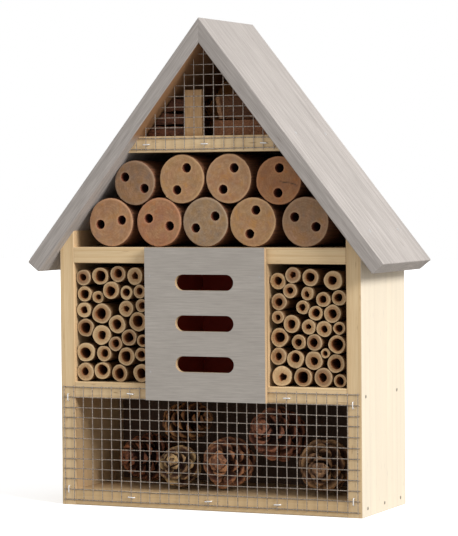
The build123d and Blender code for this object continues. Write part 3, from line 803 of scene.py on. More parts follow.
def reed(solid, seed):
    """One reed from its CAD tube. A ring has a size, which is a circle's unevenness times a radius, a
    distance back from the front, and a share of the bore's shift from the middle. Marks: cut on the rim,
    bore inside, depth into the bore, the stem's own tone, and edge where rim and skin meet."""
    rng = np.random.default_rng(seed)
    low, high = solid.min(0), solid.max(0)
    middle = (low + high) / 2
    radius = (high[0] - low[0]) / 2
    from_axis = np.hypot(solid[:, 0] - middle[0], solid[:, 2] - middle[2])
    bore = from_axis.min()
    bore_end = solid[from_axis < bore * 1.05, 1].max()
    around = 44
    angle = np.linspace(0, 2 * math.pi, around, endpoint=False)
    outline = wavy(angle, rng, (2, 3, 4, 5), rng.uniform(0.02, 0.05))
    outline *= radius / (radius * outline).max()
    thin = bore < THIN_BORE * radius
    hole = bore * (wavy(angle, rng, (2, 3, 5), 0.20) if thin else wavy(angle, rng, (2, 3, 4), 0.08))
    shift = rng.normal(0, 0.05, 2) * radius
    tilt = rng.normal(0, 0.05, 2)
    front = low[1] + rng.uniform(0.0, 1.6) * MM
    round_x, round_z = np.cos(angle), np.sin(angle)

    def ring(size, back_off, inner):
        x = middle[0] + size * round_x + inner * shift[0]
        z = middle[2] + size * round_z + inner * shift[1]
        slant = tilt[0] * (x - middle[0]) + tilt[1] * (z - middle[2])
        return np.stack([x, front + back_off + slant * (back_off < 5 * MM), z], axis=-1)

    rough = rng.normal(0, 0.10 * MM, around)
    outer = outline * radius
    length = high[1] - front
    rings = [ring(outer * 0.97, length - 0.05 * MM, 0), ring(outer * 0.985, length * 0.7, 0)]
    node_at = rng.uniform(0.25, 0.5) * length
    for away, swell in ((3.0, 0.98), (0.8, 1.0), (-0.8, 1.0), (-3.0, 0.98)):
        rings.append(ring(outer * swell, node_at + away * MM, 0))
    rings += [ring(outer * 0.99, 5 * MM, 0), ring(outer, 0.5 * MM, 0)]
    rings.append(ring(outer * 0.965, 0.08 * MM + np.abs(rough), 0.1))
    rings.append(ring((outer + hole) / 2, 0.12 * MM + np.abs(np.roll(rough, 3)), 0.5))
    rings.append(ring(hole * 1.06, 0.10 * MM + np.abs(np.roll(rough, 7)), 1))
    rings.append(ring(hole, 0.45 * MM, 1))
    depth = bore_end - front
    rings += [ring(hole * 0.97, 4 * MM, 1), ring(hole * 0.9, depth * 0.4, 1)]
    rings += [ring(hole * 0.85, depth - MM, 1), ring(hole * 0.3, depth, 1)]
    rings = np.stack(rings)
    marks = np.zeros((len(rings), around, len(REED_MARKS)))
    marks[8:11, :, CUT] = 1
    marks[7:9, :, EDGE] = 1
    marks[7, :, CUT] = 0.35
    marks[11:, :, BORE] = 1
    marks[10, :, BORE] = 0.35
    # depth drives the bore's painted shade, which a thin bore gets less of
    marks[..., DEPTH] = np.clip((rings[..., 1] - front) / (18 * MM), 0, 1) * (0.45 if thin else 1.0)
    marks[..., TONE] = rng.uniform()
    return skin(rings, marks)


print("reed shape ready")

# %% [markdown]
# ## Reed finish
# The cut of a reed is pale and full of pores, its skin is brown with fine lines along the stem, and its bore
# is painted darker within a few millimetres, as painted shade. The points of each reed say which of these
# they are, so one material serves all 58 stems, and each stem's own tone moves its rim between straw and
# brown.


# %% Reed finish
RIM_PALE = (0.55, 0.355, 0.17, 1)
RIM_PORES = (0.29, 0.150, 0.060, 1)
RIM_BROWN = (0.25, 0.135, 0.066, 1)
RIM_STRAW = (0.76, 0.56, 0.30, 1)
RIM_EDGE = (0.72, 0.53, 0.31, 1)
RIND_PALE = (0.20, 0.092, 0.030, 1)
RIND_DARK = (0.085, 0.034, 0.013, 1)
BORE_MOUTH = (0.25, 0.090, 0.026, 1)
# painted shade deep in the bore
BORE_PAINTED_SHADE = (0.060, 0.011, 0.005, 1)


def reed_finish():
    """Pale speckled rim, brown skin with lengthwise lines, and a bore with painted shade that darkens
    inwards.
    """
    material, tree, shader = new_material("reed", 0.62)
    place = object_place(tree)
    tone = mark(tree, "tone")
    pores = cloud(tree, place, 1700.0, 2.0, 0.6)
    lines = cloud(tree, stretched(tree, place, (1, 0.04, 1)), 1100.0, 2.0)
    rim = layered(tree, RIM_PALE, (
        (span(tree, pores, 0.35, 0.68), RIM_PORES),
        (span(tree, tone, 0.55, 1.0, 0.0, 0.75), RIM_BROWN),
        (span(tree, tone, 0.30, 0.0, 0.0, 0.50), RIM_STRAW),
        (times(tree, mark(tree, "edge"), 0.60), RIM_EDGE),
    ))
    colour = layered(tree, tint(tree, lines, RIND_PALE, RIND_DARK), (
        (mark(tree, "cut"), rim),
        (mark(tree, "bore"), tint(tree, span(tree, mark(tree, "depth"), 0.0, 0.5), BORE_MOUTH, BORE_PAINTED_SHADE)),
    ))
    dress(tree, shader, colour, plus(tree, pores, lines), 0.00015, 0.7)
    return material


reed_wood = reed_finish()
for side_number, side in enumerate(("left", "right")):
    for row in range(1, 8):
        node = f"reeds_{side}_{row}"
        seed = 1000 * side_number + 20 * row
        stems = [reed(solid, seed + k) for k, solid in enumerate(solids_of(node))]
        seat(build(f"{node}_stems", stems, REED_MARKS, reed_wood, 35), "reed", node)

# %% [markdown]
# ## Logs
# The logs are cut branches without bark, each drilled twice. The sawn face shows faint rings, a paler edge
# where the saw tore the fibres, and now and then a crack that runs out from the pith. The face is a flat
# region with two round holes, which a grid can't cover. So its points are spread evenly and joined by a
# Delaunay triangulation, and the triangles inside the holes are dropped.


# %% Log face
def circle(count):
    """Angles evenly spaced all the way round, and the unit vector at each."""
    angle = np.linspace(0, 2 * math.pi, count, endpoint=False)
    return angle, np.stack([np.cos(angle), np.sin(angle)], axis=-1)


def upright(flat, y):
    """Points given by x and z, at depth y."""
    return np.column_stack([flat[:, 0], np.broadcast_to(y, len(flat)), flat[:, 1]])


def log_face(outline, holes, spacing):
    """Triangles over the region between an outline and holes. Loose points lie on a triangular lattice, at
    least 0.7 of its spacing from every edge."""
    edges = np.concatenate([outline, *holes])
    reach = np.abs(outline).max()
    columns = np.arange(-reach, reach, spacing)
    rows = np.arange(-reach, reach, spacing * math.sqrt(0.75))
    x, z = np.meshgrid(columns, rows)
    x = x + (np.arange(len(rows)) % 2)[:, None] * spacing / 2
    lattice = np.stack([x.ravel(), z.ravel()], axis=-1)
    gap = np.linalg.norm(lattice[:, None] - edges[None], axis=-1).min(1)
    inside = np.linalg.norm(lattice, axis=1) < np.linalg.norm(outline, axis=1).min() - 0.7 * spacing
    for hole in holes:
        middle = hole.mean(0)
        inside &= np.linalg.norm(lattice - middle, axis=1) > np.linalg.norm(hole - middle, axis=1).max()
    flat = np.concatenate([edges, lattice[inside & (gap > 0.7 * spacing)]])
    loops, start = [], 0
    for loop in (outline, *holes):
        k = np.arange(len(loop))
        loops.append(np.stack([start + k, start + (k + 1) % len(loop)], axis=-1))
        start += len(loop)
    result = delaunay_2d_cdt([Vector(p) for p in flat], np.concatenate(loops).tolist(), [], 1, 1e-7)
    triangles = np.array(result[2])
    centres = flat[triangles].mean(1)
    keep = np.ones(len(triangles), dtype=bool)
    for hole in holes:
        from_middle, loop = centres - hole.mean(0), hole - hole.mean(0)
        bearings = np.arctan2(from_middle[:, 1], from_middle[:, 0])
        loop_bearings = np.arctan2(loop[:, 1], loop[:, 0])
        edge = np.interp(bearings, loop_bearings, np.linalg.norm(loop, axis=1), period=2 * math.pi)
        keep &= np.linalg.norm(from_middle, axis=1) > edge
    return flat, triangles[keep]


print("log face ready")


# %% Log side and bores
RIM_POINTS = 120
HOLE_POINTS = 40
HOLE_RADIUS = 3.5 * MM
FACE_BACK = 0.12 * MM  # how far the face lies behind the CAD log's front
SIDE_SHARES = (0.85, 0.7, 0.55, 0.4, 0.27, 0.16, 0.09, 0.05, 0.025)  # of the length, from the front
BORE_STEPS = (  # depth and widening, in millimetres
    (0.0, 0.42), (0.22, 0.28), (0.8, 0.20), (4.0, 0.1), (12.0, 0.0), (28.0, 0.0), (57.0, 0.0), (59.0, -2.6),
)


def log_side(centre, radius, front, length, seed, nubs):
    """Rings from the back to the rim. A ring is a circle's unevenness times the radius, plus ridges of smooth
    noise along the log. The last ring is the rim, where torn fibres leave an uneven edge. Each nub
    (angle, millimetres) lets it stand out by a bell curve of the angle."""
    angle, way = circle(RIM_POINTS)
    uneven = wavy(angle, np.random.default_rng(seed), (2, 3, 4, 5, 7), 0.012)
    outline = uneven * (1 + 0.003 * ripples(way, 0.16, seed))
    outline *= 0.9985 * radius / outline.max()
    fray = np.abs(ripples(way, 0.11, seed + 50)) * 0.22 * MM
    for nub_angle, size in nubs:
        away = (angle - nub_angle + math.pi) % (2 * math.pi) - math.pi
        fray -= size * MM * np.exp(-((away / 0.05) ** 2))
    steps = [(length - 0.02 * MM, 0.5 * MM), (length - 0.5 * MM, 0.0)]
    steps += [(length * share, 0.0) for share in SIDE_SHARES]
    steps += [(1.0 * MM, 0.0), (0.45 * MM, 0.05 * MM), (FACE_BACK, 0.30 * MM + fray)]
    rings = []
    for back_off, inset in steps:
        spots = np.column_stack([way, np.full(RIM_POINTS, back_off * 12)])
        ridges = 0.12 * MM * ripples(spots, 0.35, seed + 7)
        size = np.minimum(outline + ridges * (back_off > MM), 0.9995 * radius) - inset
        rings.append(upright(centre + size[:, None] * way, front + back_off))
    return np.stack(rings)


def log_bore(centre, place, front, seed):
    """Rings from a bore's mouth inwards. The radius widens at the mouth, where smooth noise tears it, and
    closes at the end."""
    way = circle(HOLE_POINTS)[1]
    torn = 0.14 * MM * ripples(way, 0.22, seed)
    rings = []
    for depth, wider in BORE_STEPS:
        size = HOLE_RADIUS + wider * MM + torn * (depth < 0.5)
        flat = centre + ((place - centre) + way * size[:, None])
        rings.append(upright(flat, front + depth * MM + FACE_BACK))
    return np.stack(rings)


print("log side and bores ready")


# %% Sawn surface
def sawn_surface(flat, crack, seed):
    """Height of the face's loose points behind the face, and what the finish needs to know of them. The saw
    leaves fine and broad waves that fade out towards the edges. A crack (heading, from, to, width) is a
    groove with a bell-shaped section along a slightly winding line."""
    edge_end = RIM_POINTS + 2 * HOLE_POINTS
    loose = flat[edge_end:]
    fine = 0.05 * MM * ripples(loose * (1, 0.25), 0.0022, seed + 3)
    broad = 0.10 * MM * ripples(loose, 0.012, seed + 4)
    edge_gap = np.linalg.norm(loose[:, None] - flat[None, :RIM_POINTS], axis=-1).min(1)
    hole_gap = np.linalg.norm(loose[:, None] - flat[None, RIM_POINTS:edge_end], axis=-1).min(1)
    height = (fine + broad) * np.clip(np.minimum(edge_gap, hole_gap) / (2 * MM), 0, 1)
    groove = np.zeros(len(loose))
    if crack is not None:
        heading, begins, ends, width = crack
        along = loose @ (math.cos(heading), math.sin(heading))
        aside = loose @ (-math.sin(heading), math.cos(heading)) + 0.5 * MM * np.sin(along / (2.4 * MM))
        reach = np.clip((along - begins) / (3 * MM), 0, 1) * np.clip((ends - along) / (4 * MM), 0, 1)
        groove = np.exp(-((aside / (width * MM)) ** 2)) * np.sqrt(reach)
    return loose, height + groove * 0.8 * MM, groove, edge_gap, hole_gap


print("sawn surface ready")


# %% Log shape
LOG_MARKS = ("face", "rim", "halo", "depth", "crack")
FACE, RIM, HALO, HOLE_DEPTH, CRACK = range(5)


def log(solid, bores, seed, crack=None, nubs=()):
    """One log from its CAD solid and the places of its two bores. Its parts share their edge points: the
    side, as rings from the back to the rim, the flat face, and a sleeve down each bore.
    Marks: face, rim (1 at the edge, falling inwards), halo (1 at a bore's edge), bore depth, crack."""
    low, high = solid.min(0), solid.max(0)
    middle = (low + high) / 2
    centre = middle[[0, 2]]
    front = low[1]
    side = log_side(centre, (high[0] - low[0]) / 2, front, high[1] - low[1], seed, nubs)
    sleeves = [log_bore(centre, place, front, seed + 20 + k) for k, place in enumerate(bores)]
    edges = [rings[:, [0, 2]] - centre for rings in (side[-1], sleeves[0][0], sleeves[1][0])]
    flat, face_tris = log_face(edges[0], edges[1:], 1.05 * MM)
    loose, height, groove, edge_gap, hole_gap = sawn_surface(flat, crack, seed)
    face = upright(centre + loose, front + FACE_BACK + height)
    ends = np.array([[middle[0], high[1] - 0.02 * MM, middle[2]]] + [rings[-1].mean(0) for rings in sleeves])
    points = np.concatenate([*(rings.reshape(-1, 3) for rings in (side, *sleeves)), face, ends])

    hole_start = len(side) * RIM_POINTS
    rim_start = hole_start - RIM_POINTS
    sleeve_size = len(BORE_STEPS) * HOLE_POINTS
    starts = [hole_start, hole_start + sleeve_size]
    loose_start = hole_start + 2 * sleeve_size
    end_start = len(points) - 3
    to_global = np.concatenate([
        rim_start + np.arange(RIM_POINTS),
        *(start + np.arange(HOLE_POINTS) for start in starts),
        loose_start + np.arange(len(loose)),
    ])
    quads = [sleeve(len(side), RIM_POINTS)]
    tris = [to_global[face_tris], fan(0, RIM_POINTS, end_start)[:, [1, 0, 2]]]
    for number, start in enumerate(starts):
        quads.append(sleeve(len(BORE_STEPS), HOLE_POINTS, start))
        tris.append(fan(start + sleeve_size - HOLE_POINTS, HOLE_POINTS, end_start + 1 + number))

    marks = np.zeros((len(points), len(LOG_MARKS)))
    marks[rim_start:hole_start, [FACE, RIM]] = 1
    depths = np.repeat([depth for depth, wider in BORE_STEPS], HOLE_POINTS)
    for start in starts:
        marks[start:start + HOLE_POINTS, FACE] = 1
        marks[start:start + 2 * HOLE_POINTS, HALO] = 1
        marks[start:start + sleeve_size, HOLE_DEPTH] = np.clip(depths / 14, 0, 1) + (depths > 0.2) * 0.08
    marks[end_start + 1:, HOLE_DEPTH] = 1
    on_face = slice(loose_start, end_start)
    marks[on_face, FACE] = 1
    marks[on_face, RIM] = np.clip(1 - edge_gap / (1.8 * MM), 0, 1)
    marks[on_face, HALO] = np.clip(1 - hole_gap / (1.7 * MM), 0, 1)
    marks[on_face, CRACK] = groove
    return points, np.concatenate(quads), np.concatenate(tris), marks


print("log shape ready")

# %% [markdown]
# ## A sawn end
# Where a stem is cut across, its rings are circles round the pith, fine rays run out from it, and pores and
# cloudy stains cover the whole. Logs and offcuts share this, so it is a node group too. The rings bend a
# little, because noise is added to the radius before it is divided by their spacing.


# %% Node group: a sawn end
def sawn_end_group():
    """Rings round the pith, fine rays out from it, pores, and cloudy stains, all across the grain."""
    tree, given, gives = new_group("sawn end", [
        ("Place", "NodeSocketVector", None),
        ("Ring Spacing", "NodeSocketFloat", 0.0019),
    ], ("Rings", "Rays", "Pores", "Stains"))
    place = given["Place"]
    level = stretched(tree, place, (1, 0.15, 1))
    flat = stretched(tree, place, (1, 0, 1))
    warp = times(tree, arithmetic(tree, "SUBTRACT", cloud(tree, level, 70.0, 2.0), 0.5), 0.0035)
    radius = put(tree, "ShaderNodeVectorMath", {0: flat}, operation="LENGTH").outputs["Value"]
    turns = arithmetic(tree, "DIVIDE", plus(tree, radius, warp), given["Ring Spacing"])
    saw = arithmetic(tree, "FRACT", turns)
    rings = times(tree, arithmetic(tree, "POWER", saw, 2.2), span(tree, saw, 0.9, 1.0, 1.0, 0.0))
    tree.links.new(rings, gives["Rings"])
    parts = put(tree, "ShaderNodeSeparateXYZ", {0: flat})
    bearing = arithmetic(tree, "ARCTAN2", parts.outputs["Z"], parts.outputs["X"])
    round_about = put(tree, "ShaderNodeCombineXYZ", {
        0: times(tree, arithmetic(tree, "COSINE", bearing), 9.0),
        1: times(tree, radius, 60.0),
        2: times(tree, arithmetic(tree, "SINE", bearing), 9.0),
    }).outputs[0]
    tree.links.new(cloud(tree, round_about, 5.0, 2.0), gives["Rays"])
    tree.links.new(cloud(tree, level, 1400.0, 2.0, 0.6), gives["Pores"])
    tree.links.new(cloud(tree, level, 95.0, 3.0), gives["Stains"])
    return tree


sawn_end = sawn_end_group()
print("group", sawn_end.name)

# %% [markdown]
# ## Log finish
# The logs aren't all the same wood: some are pinkish, some tan, some grey. Each gets a tone of its own, with
# patches of a second one. The rings, rays and pores of the sawn end come from the node group, centred on the
# log's own pith. Where saw and drill tore the fibres, at the rim and round the bores, the wood is pale.


# %% Log finish
CRACK_BROWN = (0.10, 0.055, 0.03, 1)
SIDE_PALE = (0.215, 0.085, 0.036, 1)
SIDE_DARK = (0.10, 0.038, 0.016, 1)
HOLE_MOUTH = (0.20, 0.055, 0.022, 1)
# painted shade deep in a bore
HOLE_PAINTED_SHADE = (0.045, 0.006, 0.003, 1)
LOG_RINGS = 0.0021


def sawn_wood(tree, centred, tone, patch):
    """The sawn face's colour and its relief."""
    end = grouped(tree, sawn_end, {"Place": centred, "Ring Spacing": LOG_RINGS})
    level = stretched(tree, centred, (1, 0.15, 1))
    mottle = cloud(tree, level, 330.0, 3.0, 0.65)
    smudge = cloud(tree, level, 150.0, 2.0)
    deep = toned(tone, 0.72, 0.64, 0.55)
    light = toned(tone, 1.30, 1.36, 1.46)
    wood = layered(tree, tone, (
        (span(tree, end["Stains"], 0.40, 0.66), patch),
        (span(tree, mottle, 0.42, 0.66, 0.0, 0.55), deep),
        (span(tree, mottle, 0.50, 0.30, 0.0, 0.40), light),
        (span(tree, smudge, 0.54, 0.70, 0.0, 0.70), toned(tone, 1.18, 0.98, 0.55)),
        (span(tree, smudge, 0.44, 0.30, 0.0, 0.70), toned(tone, 0.82, 0.90, 1.15)),
        (times(tree, end["Rings"], 0.36), deep),
        (span(tree, end["Rays"], 0.5, 0.75, 0.0, 0.35), deep),
        (span(tree, end["Pores"], 0.45, 0.72, 0.0, 0.45), deep),
        (times(tree, mark(tree, "rim"), 0.95), light),
        (times(tree, mark(tree, "halo"), 0.80), light),
        (mark(tree, "crack"), CRACK_BROWN),
    ))
    return wood, plus(tree, end["Pores"], times(tree, end["Rings"], 0.5))


def log_finish(name, tone, patch, pith):
    """A log's wood: the sawn face, bores with painted shade deeper in, and a red-brown side with lengthwise
    fibres.
    """
    material, tree, shader = new_material(name, 0.72)
    centred = put(tree, "ShaderNodeMapping", {"Vector": object_place(tree), "Location": pith}).outputs[0]
    wood, height = sawn_wood(tree, centred, tone, patch)
    fibres = cloud(tree, stretched(tree, centred, (1, 0.05, 1)), 700.0, 3.0)
    depth = mark(tree, "depth")
    colour = layered(tree, tint(tree, span(tree, fibres, 0.35, 0.65), SIDE_PALE, SIDE_DARK), (
        (mark(tree, "face"), wood),
        # the bores darken inwards with their depth: painted shade
        (span(tree, depth, 0.0, 0.05), tint(tree, span(tree, depth, 0.08, 0.5), HOLE_MOUTH, HOLE_PAINTED_SHADE)),
    ))
    dress(tree, shader, colour, height, 0.00015, 0.7)
    return material


print("log finish ready")


# %% The nine logs
PINKISH = (0.43, 0.225, 0.120, 1)
TAN = (0.43, 0.255, 0.120, 1)
GREYISH = (0.315, 0.215, 0.130, 1)
RUDDY = (0.38, 0.175, 0.085, 1)
# tone, second tone, pith beside the middle in millimetres, crack, and torn nubs on the rim
log_looks = (
    ((0.405, 0.215, 0.108, 1), TAN, (3, -2), None, ()),
    (RUDDY, TAN, (-2, 4), None, ((2.4, 0.25),)),
    (GREYISH, TAN, (5, 1), None, ()),
    (TAN, PINKISH, (-3, -3), None, ((0.9, 0.5),)),
    ((0.32, 0.192, 0.104, 1), PINKISH, (2, 5), None, ((1.0, 0.6),)),
    ((0.265, 0.160, 0.092, 1), (0.36, 0.185, 0.080, 1), (-4, 2), None, ()),
    (TAN, PINKISH, (1, -4), None, ((3.95, 0.6),)),
    ((0.45, 0.262, 0.132, 1), RUDDY, (4, 3), None, ((0.8, 0.6),)),
    ((0.355, 0.155, 0.064, 1), (0.39, 0.205, 0.085, 1), (-1, -1), (-0.25, 0.0, 0.0175, 0.42), ()),
)
APART_IN_NOISE = 0.013  # moves each log's pattern along Y, so that no two are alike
openings = {opening["name"]: np.array(opening["box_m"]) for opening in record["physics"]["openings"]}
for number, (tone, patch, pith, crack, nubs) in enumerate(log_looks, start=1):
    node = f"log_{number}"
    solid = solids_of(node)[0]
    bores = [openings[f"{node}_hole_{letter}"].mean(0)[[0, 2]] for letter in "ab"]
    centre = (solid.min(0) + solid.max(0)) / 2
    shift = (-centre[0] + pith[0] * MM, APART_IN_NOISE * number, -centre[2] + pith[1] * MM)
    finish = log_finish(f"{node} wood", tone, patch, shift)
    shape = log(solid, bores, 300 + number, crack, nubs)
    seat(build(f"{node}_sawn", [shape], LOG_MARKS, finish, 50), "log_wood", node)

# %% [markdown]
# ## Pine cones
# An open cone is a spindle with woody scales set on a spiral, each a golden angle (137.5 degrees) on from the
# last. A scale leaves the core, swings outwards, widens, and ends in a thick blunt tip. Near the foot the
# scales lie almost flat, and near the tip they close round it. Each scale here is one closed tube of eight
# points a ring, flattened into a spoon. All the scales of a cone are worked out together as one array.


# %% Cone scales
GOLDEN = math.radians(137.508)
SCALE_STEPS = np.array([0.0, 0.2, 0.42, 0.62, 0.78, 0.89, 0.96, 1.0])  # s, from a scale's root to its tip
SCALE_WIDTHS = np.array([0.34, 0.45, 0.68, 0.92, 1.0, 0.86, 0.58, 0.22])
SCALE_DEPTHS = np.array([0.30, 0.26, 0.30, 0.42, 0.72, 0.92, 0.72, 0.25])
CORE_LEVELS = np.array([0.0, 0.02, 0.2, 0.45, 0.7, 0.9, 0.96])
CORE_WIDTHS = np.array([0.2, 0.33, 0.33, 0.25, 0.17, 0.13, 0.06])
BEND = 8  # the number of points round a scale


def cone_width(level):
    """Half the cone's width at a level from 0 (foot) to 1 (top), as a share of the widest."""
    return np.interp(level, (0.0, 0.16, 0.42, 0.74, 1.0), (0.45, 0.87, 1.0, 0.78, 0.2))


def middle_lines(rng, share, radius, tall):
    """The middle line of each scale, as distances out from the cone's axis and up along it. It is the curve
    (1-s)^2 A + 2s(1-s) B + s^2 C, from the core (A) to the cone's outline (C)."""
    count = len(share)
    low_end = tall * (0.05 + 0.80 * share)
    core = radius * (0.30 - 0.22 * share)
    high_end = low_end + radius * (0.02 + 0.62 * share ** 1.3) + rng.normal(0, 0.02, count) * tall
    high_end = np.clip(high_end, 0.05 * tall, 0.97 * tall)
    closing = 1 - 0.62 * np.clip((share - 0.80) / 0.20, 0, 1)
    reach = cone_width(high_end / tall) * radius * rng.uniform(0.88, 0.985, count) * closing
    knee_out = core + (reach - core) * 0.62
    knee_up = low_end + (high_end - low_end) * (0.18 + 0.5 * share)
    s = SCALE_STEPS

    def curve(a, b, c):
        return (1 - s) ** 2 * a[:, None] + 2 * s * (1 - s) * b[:, None] + s ** 2 * c[:, None]

    return curve(core, knee_out, reach), curve(low_end, knee_up, high_end)


def scale_marks(rng, share, turn):
    """tip grows towards a scale's end, and less on the last scales. edge is 1 along a scale's two sides and
    its end. tone is each scale's own."""
    shape = (len(share), len(SCALE_STEPS), BEND)
    s = SCALE_STEPS[:, None]
    last = 1 - 0.45 * np.clip((share - 0.62) / 0.38, 0, 1)[:, None, None]
    tip = np.clip((s - 0.55) / 0.4, 0, 1) * last
    edge = np.maximum(np.abs(np.cos(turn)) ** 4 * (s > 0.3), s > 0.9)
    tone = rng.uniform(0, 1, len(share))[:, None, None]
    return np.stack([np.broadcast_to(values, shape) for values in (tip, edge, tone)], axis=-1)


print("scale lines and marks ready")


# %% Cone shape
def cone(middle, axis, radius, tall, seed, count):
    """Scales on a golden-angle spiral round a core. A scale is a flat tube along its middle line, cupped by
    the square of the distance from that line, and nothing of it passes the cone's outline. middle is the
    cone's own, 0.42 of its length from the foot."""
    rng = np.random.default_rng(seed)
    axis = np.array(axis) / np.linalg.norm(axis)
    foot = middle - axis * 0.42 * tall
    first = np.cross(axis, (0.3, 0.2, 1.0))
    first /= np.linalg.norm(first)
    second = np.cross(axis, first)
    share = (np.arange(count) + 0.5) / count
    bearing = (np.arange(count) * GOLDEN + rng.normal(0, 0.05, count))[:, None, None]
    out, up = middle_lines(rng, share, radius, tall)
    out_way, up_way = np.gradient(out, axis=1), np.gradient(up, axis=1)
    size = np.hypot(out_way, up_way)

    half = radius * 0.40 * (1 - 0.58 * share) * (0.72 + 0.28 * np.minimum(share * 5, 1))
    half *= rng.uniform(0.9, 1.1, count)
    thick = SCALE_DEPTHS * radius * 0.075
    turn = np.linspace(0, 2 * math.pi, BEND, endpoint=False)
    aside = (half[:, None] * SCALE_WIDTHS)[..., None] * np.cos(turn)
    above = thick[:, None] * np.sin(turn) * np.where(np.sin(turn) < 0, 1.25, 0.8)
    bump = np.zeros((len(SCALE_STEPS), BEND))
    bump[4:7, 6] = -radius * 0.030
    above = above[None] + 0.30 * (aside ** 2) / half[:, None, None] + bump[None]

    ring_out = out[..., None] - (up_way / size)[..., None] * above
    ring_up = up[..., None] + (out_way / size)[..., None] * above
    x = ring_out * np.cos(bearing) - aside * np.sin(bearing)
    y = ring_out * np.sin(bearing) + aside * np.cos(bearing)
    limit = cone_width(np.clip(ring_up / tall, 0, 1)) * radius
    pull = np.minimum(1, limit / np.maximum(np.hypot(x, y), 1e-6))
    ring_up = np.clip(ring_up, 0, tall)
    points = foot + (x * pull)[..., None] * first + (y * pull)[..., None] * second + ring_up[..., None] * axis
    marks = scale_marks(rng, share, turn)
    patches = [skin(points[k], marks[k]) for k in range(count)]

    angle = np.linspace(0, 2 * math.pi, 16, endpoint=False)
    around = np.cos(angle)[:, None] * first + np.sin(angle)[:, None] * second
    fat = CORE_WIDTHS * radius
    spindle = foot + CORE_LEVELS[:, None, None] * tall * axis + fat[:, None, None] * around[None]
    bud = np.zeros((len(CORE_LEVELS), 16, 3))
    bud[5:, :, :2] = 0.5
    return patches + [skin(spindle, bud)]


print("cone shape ready")

# %% [markdown]
# ## Cone finish
# A scale is dark where it leaves the core and has the cone's own brown towards its tip. Its edge is painted
# lighter, a painted highlight, and here and there a whole scale has weathered pale in that colour. The marks
# on the points say how far out and how near an edge each point is, and noise breaks the colours up. The six
# cones differ in colour.


# %% Cone finish
def cone_finish(name, root, tip, edge, pale_share):
    """Dark at the root of each scale, the cone's own colour on the tips, a painted highlight along the edge,
    lengthwise streaks, and a whole scale here and there that has weathered pale."""
    material, tree, shader = new_material(name, 0.66)
    place = object_place(tree)
    blotch = cloud(tree, place, 260.0, 3.0, 0.6)
    grain = cloud(tree, place, 1300.0, 3.0, 0.6)
    outer = mark(tree, "tip")
    weathered = span(tree, mark(tree, "tone"), 1 - pale_share, 1 - pale_share * 0.6, 0.0, 0.8)
    colour = layered(tree, root, (
        (outer, tip),
        (span(tree, blotch, 0.42, 0.66, 0.0, 0.6), root),
        # painted highlight: the edge colour along each scale's sides and end
        (times(tree, mark(tree, "edge"), span(tree, blotch, 0.35, 0.6, 0.75, 0.15)), edge),
        (times(tree, weathered, outer), edge),
        (span(tree, grain, 0.45, 0.75, 0.0, 0.55), root),
    ))
    dress(tree, shader, colour, plus(tree, grain, blotch), 0.0004, 0.8)
    return material


print("cone finish ready")


# %% The six cones
SCALE_ROOT = (0.028, 0.006, 0.003, 1)
# colour of the tips and of the edges, a painted highlight that weathered scales also take, and the share of
# weathered scales
cone_looks = (
    ((0.21, 0.074, 0.024, 1), (0.52, 0.25, 0.090, 1), 0.26),
    ((0.13, 0.034, 0.012, 1), (0.34, 0.120, 0.045, 1), 0.10),
    ((0.11, 0.032, 0.014, 1), (0.70, 0.46, 0.20, 1), 0.32),
    ((0.14, 0.037, 0.014, 1), (0.56, 0.25, 0.105, 1), 0.12),
    ((0.16, 0.042, 0.017, 1), (0.50, 0.19, 0.088, 1), 0.12),
    ((0.13, 0.052, 0.022, 1), (0.46, 0.255, 0.110, 1), 0.18),
)
# middle behind the board's front and above the room's floor, radius and length in millimetres, the way the
# tip looks, and the number of scales
cone_places = (
    ((-38.0, 42.0, 53.6), 18.5, 48.0, (1.0, -0.35, 0.25), 60),
    ((-76.0, 50.0, 22.9), 22.5, 50.0, (-0.5, -1.0, 0.1), 56),
    ((-37.5, 26.0, 19.5), 18.5, 38.0, (0.1, -1.0, 0.35), 46),
    ((4.5, 30.0, 23.3), 23.0, 44.0, (0.05, -1.0, 0.12), 56),
    ((45.5, 36.0, 47.0), 24.0, 52.0, (-0.15, -1.0, 0.3), 56),
    ((88.0, 31.0, 23.8), 23.5, 48.0, (0.2, -1.0, -0.05), 56),
)
board_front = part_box("bottom_board")[0].y
room_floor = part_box("bottom_board")[1].z
for number, (placed, looks) in enumerate(zip(cone_places, cone_looks), start=1):
    node = f"cone_{number}"
    place, radius, tall, axis, count = placed
    middle = np.array([place[0] * MM, board_front + place[1] * MM, room_floor + place[2] * MM])
    finish = cone_finish(f"{node} scales", SCALE_ROOT, *looks)
    scales = cone(middle, axis, radius * MM, tall * MM, 700 + number, count)
    seat(build(f"{node}_open", scales, ("tip", "edge", "tone"), finish, 55), "cone", node)

# %% [markdown]
# ## Attic filling
# The attic holds odd pieces: an upright slat, strips of bark on the left, a sawn block and a darker block
# leaning on it. They are offcuts, so no edge is quite straight. Each is a stack of outlines: the CAD piece's
# own outline with its points pulled in a little by smooth noise, from its front end to its back end.


# %% Offcut shape
OUTLINE_POINTS = 72


